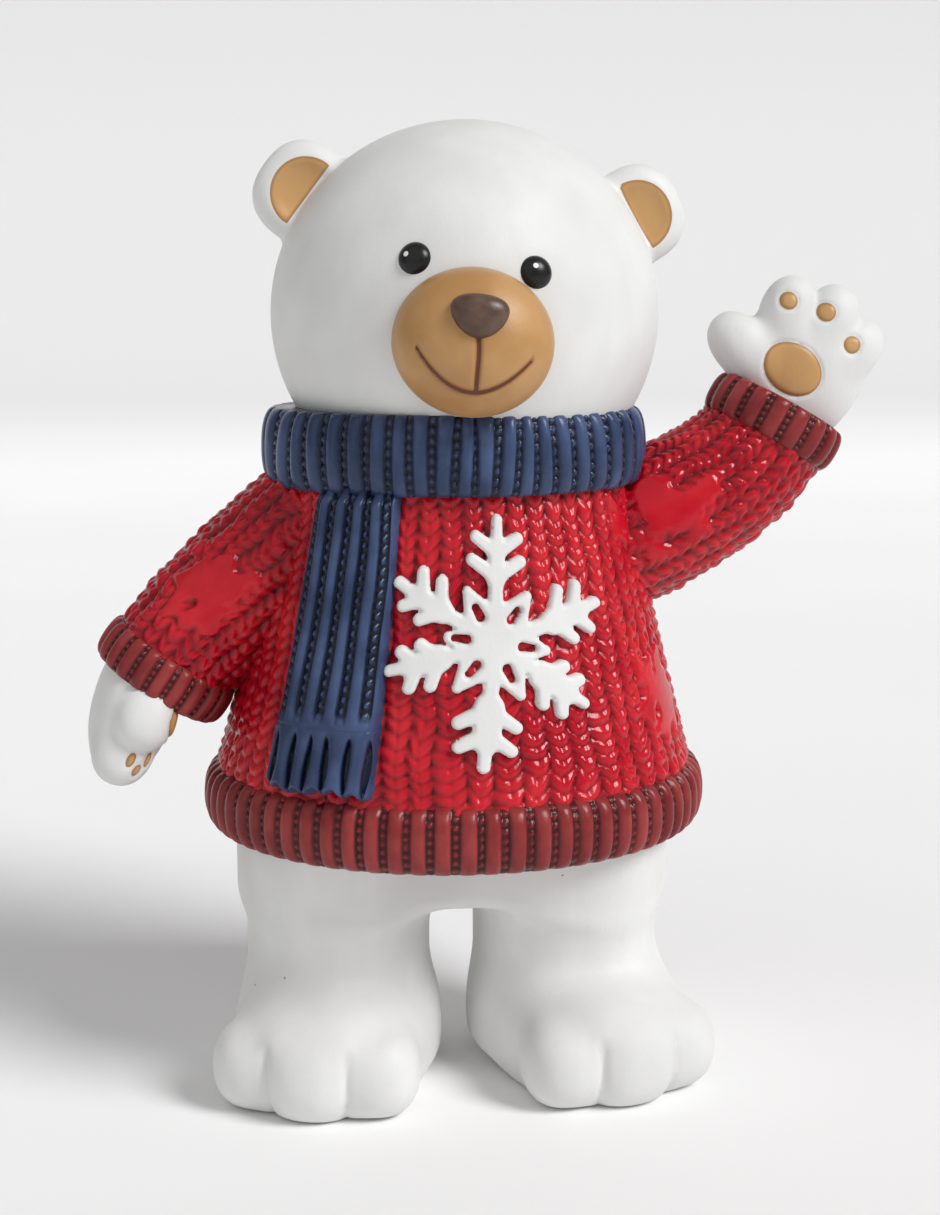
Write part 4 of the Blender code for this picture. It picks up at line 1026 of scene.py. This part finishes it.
MUZZLE_TAN = (0.45, 0.235, 0.080, 1.0)
MUZZLE_LIGHT = (0.54, 0.30, 0.118, 1.0)
# Painted shade where the muzzle meets the head.
MUZZLE_JOIN_SHADE = (0.33, 0.155, 0.055, 1.0)
# Painted shade for the sides of the mouth's groove.
MOUTH_SHADE = (0.36, 0.17, 0.055, 1.0)
MOUTH_BROWN = (0.15, 0.036, 0.012, 1.0)
muzzle = Paint("tan_muzzle_paint", 0.38, specular=0.45)
cloud = muzzle.noise(90.0, 3.0)
line = muzzle.note("mouth")
colour = muzzle.mix(muzzle.ramp(cloud, 0.35, 0.7), MUZZLE_TAN, MUZZLE_LIGHT)
# Painted shade along the sides of the mouth's groove, round the brown line.
colour = muzzle.mix(muzzle.ramp(line, 0.0, 0.55), MOUTH_SHADE, colour)
colour = muzzle.mix(muzzle.ramp(line, -0.06, 0.12), MOUTH_BROWN, colour)
# Painted shade: darker tan where the muzzle meets the head.
colour = muzzle.mix(muzzle.ramp(muzzle.note("rim"), 0.15, 0.75), MUZZLE_JOIN_SHADE, colour)
shine = muzzle.ramp(cloud, 0.3, 0.7, 0.32, 0.44)
muzzle_paint = muzzle.finish(colour, shine, [(muzzle.noise(700.0), 0.06)])
points, faces = cast_form(muzzle_field, muzzle_centre - 16.0, muzzle_centre + 16.0, 0.42)
# Distance to the head's ball, for the painted shade where the muzzle meets the head.
rim = ball(points, HEAD, HEAD_HALF_SIZES)
add_piece("muzzle", points, [faces], muzzle_paint, mouth=mouth_distance(points), rim=rim)

out = 1.0 - (NOSE_RISE / MUZZLE_HALF_SIZES[2]) ** 2
nose_centre = muzzle_centre + face_axes @ np.array([0.0, -MUZZLE_HALF_SIZES[1] * out**0.5 + 0.6, NOSE_RISE])


def nose_field(points):
    """Distance to a squared ball whose width shrinks to its lower end, like a rounded triangle."""
    local = (points - nose_centre) @ face_axes
    local[:, 0] /= np.clip(0.84 + 0.24 * local[:, 2] / 3.7, 0.35, 1.04)
    return ball(local, (0.0, 0.0, 0.0), NOSE_HALF_SIZES, 2.2) * 0.85


NOSE_BROWN = (0.085, 0.045, 0.030, 1.0)
NOSE_LIGHT = (0.130, 0.076, 0.052, 1.0)
nose = Paint("brown_nose_paint", 0.42, specular=0.45)
cloud = nose.noise(350.0, 3.0)
colour = nose.mix(nose.ramp(cloud, 0.35, 0.7), NOSE_BROWN, NOSE_LIGHT)
nose_paint = nose.finish(colour, nose.ramp(cloud, 0.3, 0.7, 0.34, 0.48), [(cloud, 0.12)])
points, faces = cast_form(nose_field, nose_centre - 6.0, nose_centre + 6.0, 0.30)
add_piece("nose", points, [faces], nose_paint)

EYE_UP = 8.6
EYE_SUNK = 0.7
EYE_HALF_SIZES = (2.95, 2.1, 2.95)
DOT_RADIUS = 0.5
EYE_BLACKS = ((0.006, 0.006, 0.006, 1.0), (0.014, 0.014, 0.015, 1.0))
DOT_WHITE = (0.85, 0.85, 0.83, 1.0)
eye = Paint("glossy_black_paint", 0.10, specular=0.35)
colour = eye.mix(eye.ramp(eye.note("dot"), -0.06, 0.06), DOT_WHITE, eye.mix(eye.noise(500.0), *EYE_BLACKS))
eye_paint = eye.finish(colour, 0.30, [(eye.noise(900.0), 0.03)])


def add_eye(name, across, dot_place):
    """A stretched ball sunk in the head at a place across the face, and the distance to its white dot."""
    surface, way = on_head(across, EYE_UP)
    side = np.cross(way, np.array([0.0, 0.0, 1.0]))
    side /= np.linalg.norm(side)
    eye_axes = np.stack([side, way, np.cross(side, way)], axis=1)
    centre = surface - way * EYE_SUNK
    spot = centre + eye_axes @ np.array(dot_place)

    def field(points):
        """Distance to the eye's ball."""
        return ball(points, centre, EYE_HALF_SIZES, 2.0, eye_axes)

    points, faces = cast_form(field, centre - 4.0, centre + 4.0, 0.25)
    add_piece(name, points, [faces], eye_paint, dot=np.linalg.norm(points - spot, axis=1) - DOT_RADIUS)


add_eye("eye_right", -11.3, (1.1, 1.75, 0.35))
add_eye("eye_left", 9.5, (0.55, 1.8, 0.8))


# Studio: a pale floor that curves up into the backdrop, a large soft light from the right, and the
# photograph's camera, a little above the bear and on its right side.
# The floor's profile in metres is level, then a quarter circle, then an upright wall.
FLOOR_FRONT = -1.6
FLOOR_BACK = 1.0
WALL_CURVE = 0.8
FLOOR_SHARE = 0.45
CURVE_SHARE = 0.25
FLOOR_POINTS = (7, 60)
t = np.linspace(0.0, 1.0, FLOOR_POINTS[1])
bend = np.clip((t - FLOOR_SHARE) / CURVE_SHARE, 0.0, 1.0) * pi / 2
level_y = FLOOR_FRONT + (FLOOR_BACK - FLOOR_FRONT) * t / FLOOR_SHARE
back_y = np.where(t < FLOOR_SHARE, level_y, FLOOR_BACK + WALL_CURVE * np.sin(bend))
wall_z = WALL_CURVE * (1 - np.cos(bend)) + np.maximum(t - FLOOR_SHARE - CURVE_SHARE, 0.0) * 6.0
back_z = np.where(t < FLOOR_SHARE, 0.0, wall_z)
wide = np.linspace(-3.0, 3.0, FLOOR_POINTS[0])
sheet = np.stack(np.broadcast_arrays(wide[:, None], back_y[None], back_z[None]), axis=-1).reshape(-1, 3)
index = np.arange(sheet.shape[0]).reshape(FLOOR_POINTS)
quads = np.stack([index[:-1, :-1], index[1:, :-1], index[1:, 1:], index[:-1, 1:]], axis=-1).reshape(-1, 4)
mesh = bpy.data.meshes.new("studio_floor")
mesh.from_pydata(sheet.tolist(), [], quads.tolist())
mesh.shade_smooth()
floor = bpy.data.objects.new("studio_floor", mesh)
bpy.context.scene.collection.objects.link(floor)
PAPER = (0.93, 0.93, 0.93, 1.0)
PAPER_LIGHT = (0.95, 0.95, 0.95, 1.0)
PAPER_WALL = (0.745, 0.745, 0.745, 1.0)
paper = Paint("pale_paper", 0.85, specular=0.2)
place = paper.add("ShaderNodeSeparateXYZ")
paper.join(paper.place, place.inputs[0])
grey = paper.mix(paper.ramp(paper.noise(4.0, 2.0), 0.3, 0.7), PAPER, PAPER_LIGHT)
grey = paper.mix(paper.ramp(place.outputs[2], 0.0, 0.06), grey, PAPER_WALL)
mesh.materials.append(paper.finish(grey, 0.85))

world = bpy.data.worlds.new("soft_white_room")
world.use_nodes = True
world.node_tree.nodes["Background"].inputs["Color"].default_value = (1.0, 1.0, 1.0, 1.0)
world.node_tree.nodes["Background"].inputs["Strength"].default_value = 0.24
bpy.context.scene.world = world
bpy.context.scene.view_settings.view_transform = "Standard"

LIGHT_AIM = Vector((0.0, 0.0, 0.09))


def add_light(name, strength, softness, place):
    """A distant lamp of a strength, as wide as an angle in degrees, that looks at the bear's middle."""
    light = bpy.data.lights.new(name, "SUN")
    light.energy = strength
    light.angle = radians(softness)
    lamp = bpy.data.objects.new(name, light)
    lamp.location = place
    lamp.rotation_euler = (LIGHT_AIM - Vector(place)).to_track_quat("-Z", "Y").to_euler()
    bpy.context.scene.collection.objects.link(lamp)


add_light("key_light", 2.45, 24.0, (1.05, -0.80, 1.25))
add_light("fill_light", 0.47, 75.0, (-0.70, -0.95, 0.95))

CAMERA_TURN = radians(7.0)
CAMERA_DIP = radians(9.69)
CAMERA_PLACE = np.array([-39.8, -348.75, 149.3])
FOCAL_PIXELS = 1860.0
PHOTO_HEIGHT = 1215.0
SENSOR = 36.0
camera_data = bpy.data.cameras.new("camera")
camera_data.lens = SENSOR * FOCAL_PIXELS / PHOTO_HEIGHT
camera = bpy.data.objects.new("camera", camera_data)
camera.location = Vector((CAMERA_PLACE + FOOTPRINT) * MM)
look = Vector((sin(CAMERA_TURN) * cos(CAMERA_DIP), cos(CAMERA_TURN) * cos(CAMERA_DIP), -sin(CAMERA_DIP)))
camera.rotation_euler = look.to_track_quat("-Z", "Y").to_euler()
bpy.context.scene.collection.objects.link(camera)
bpy.context.scene.camera = camera

bpy.context.view_layer.update()
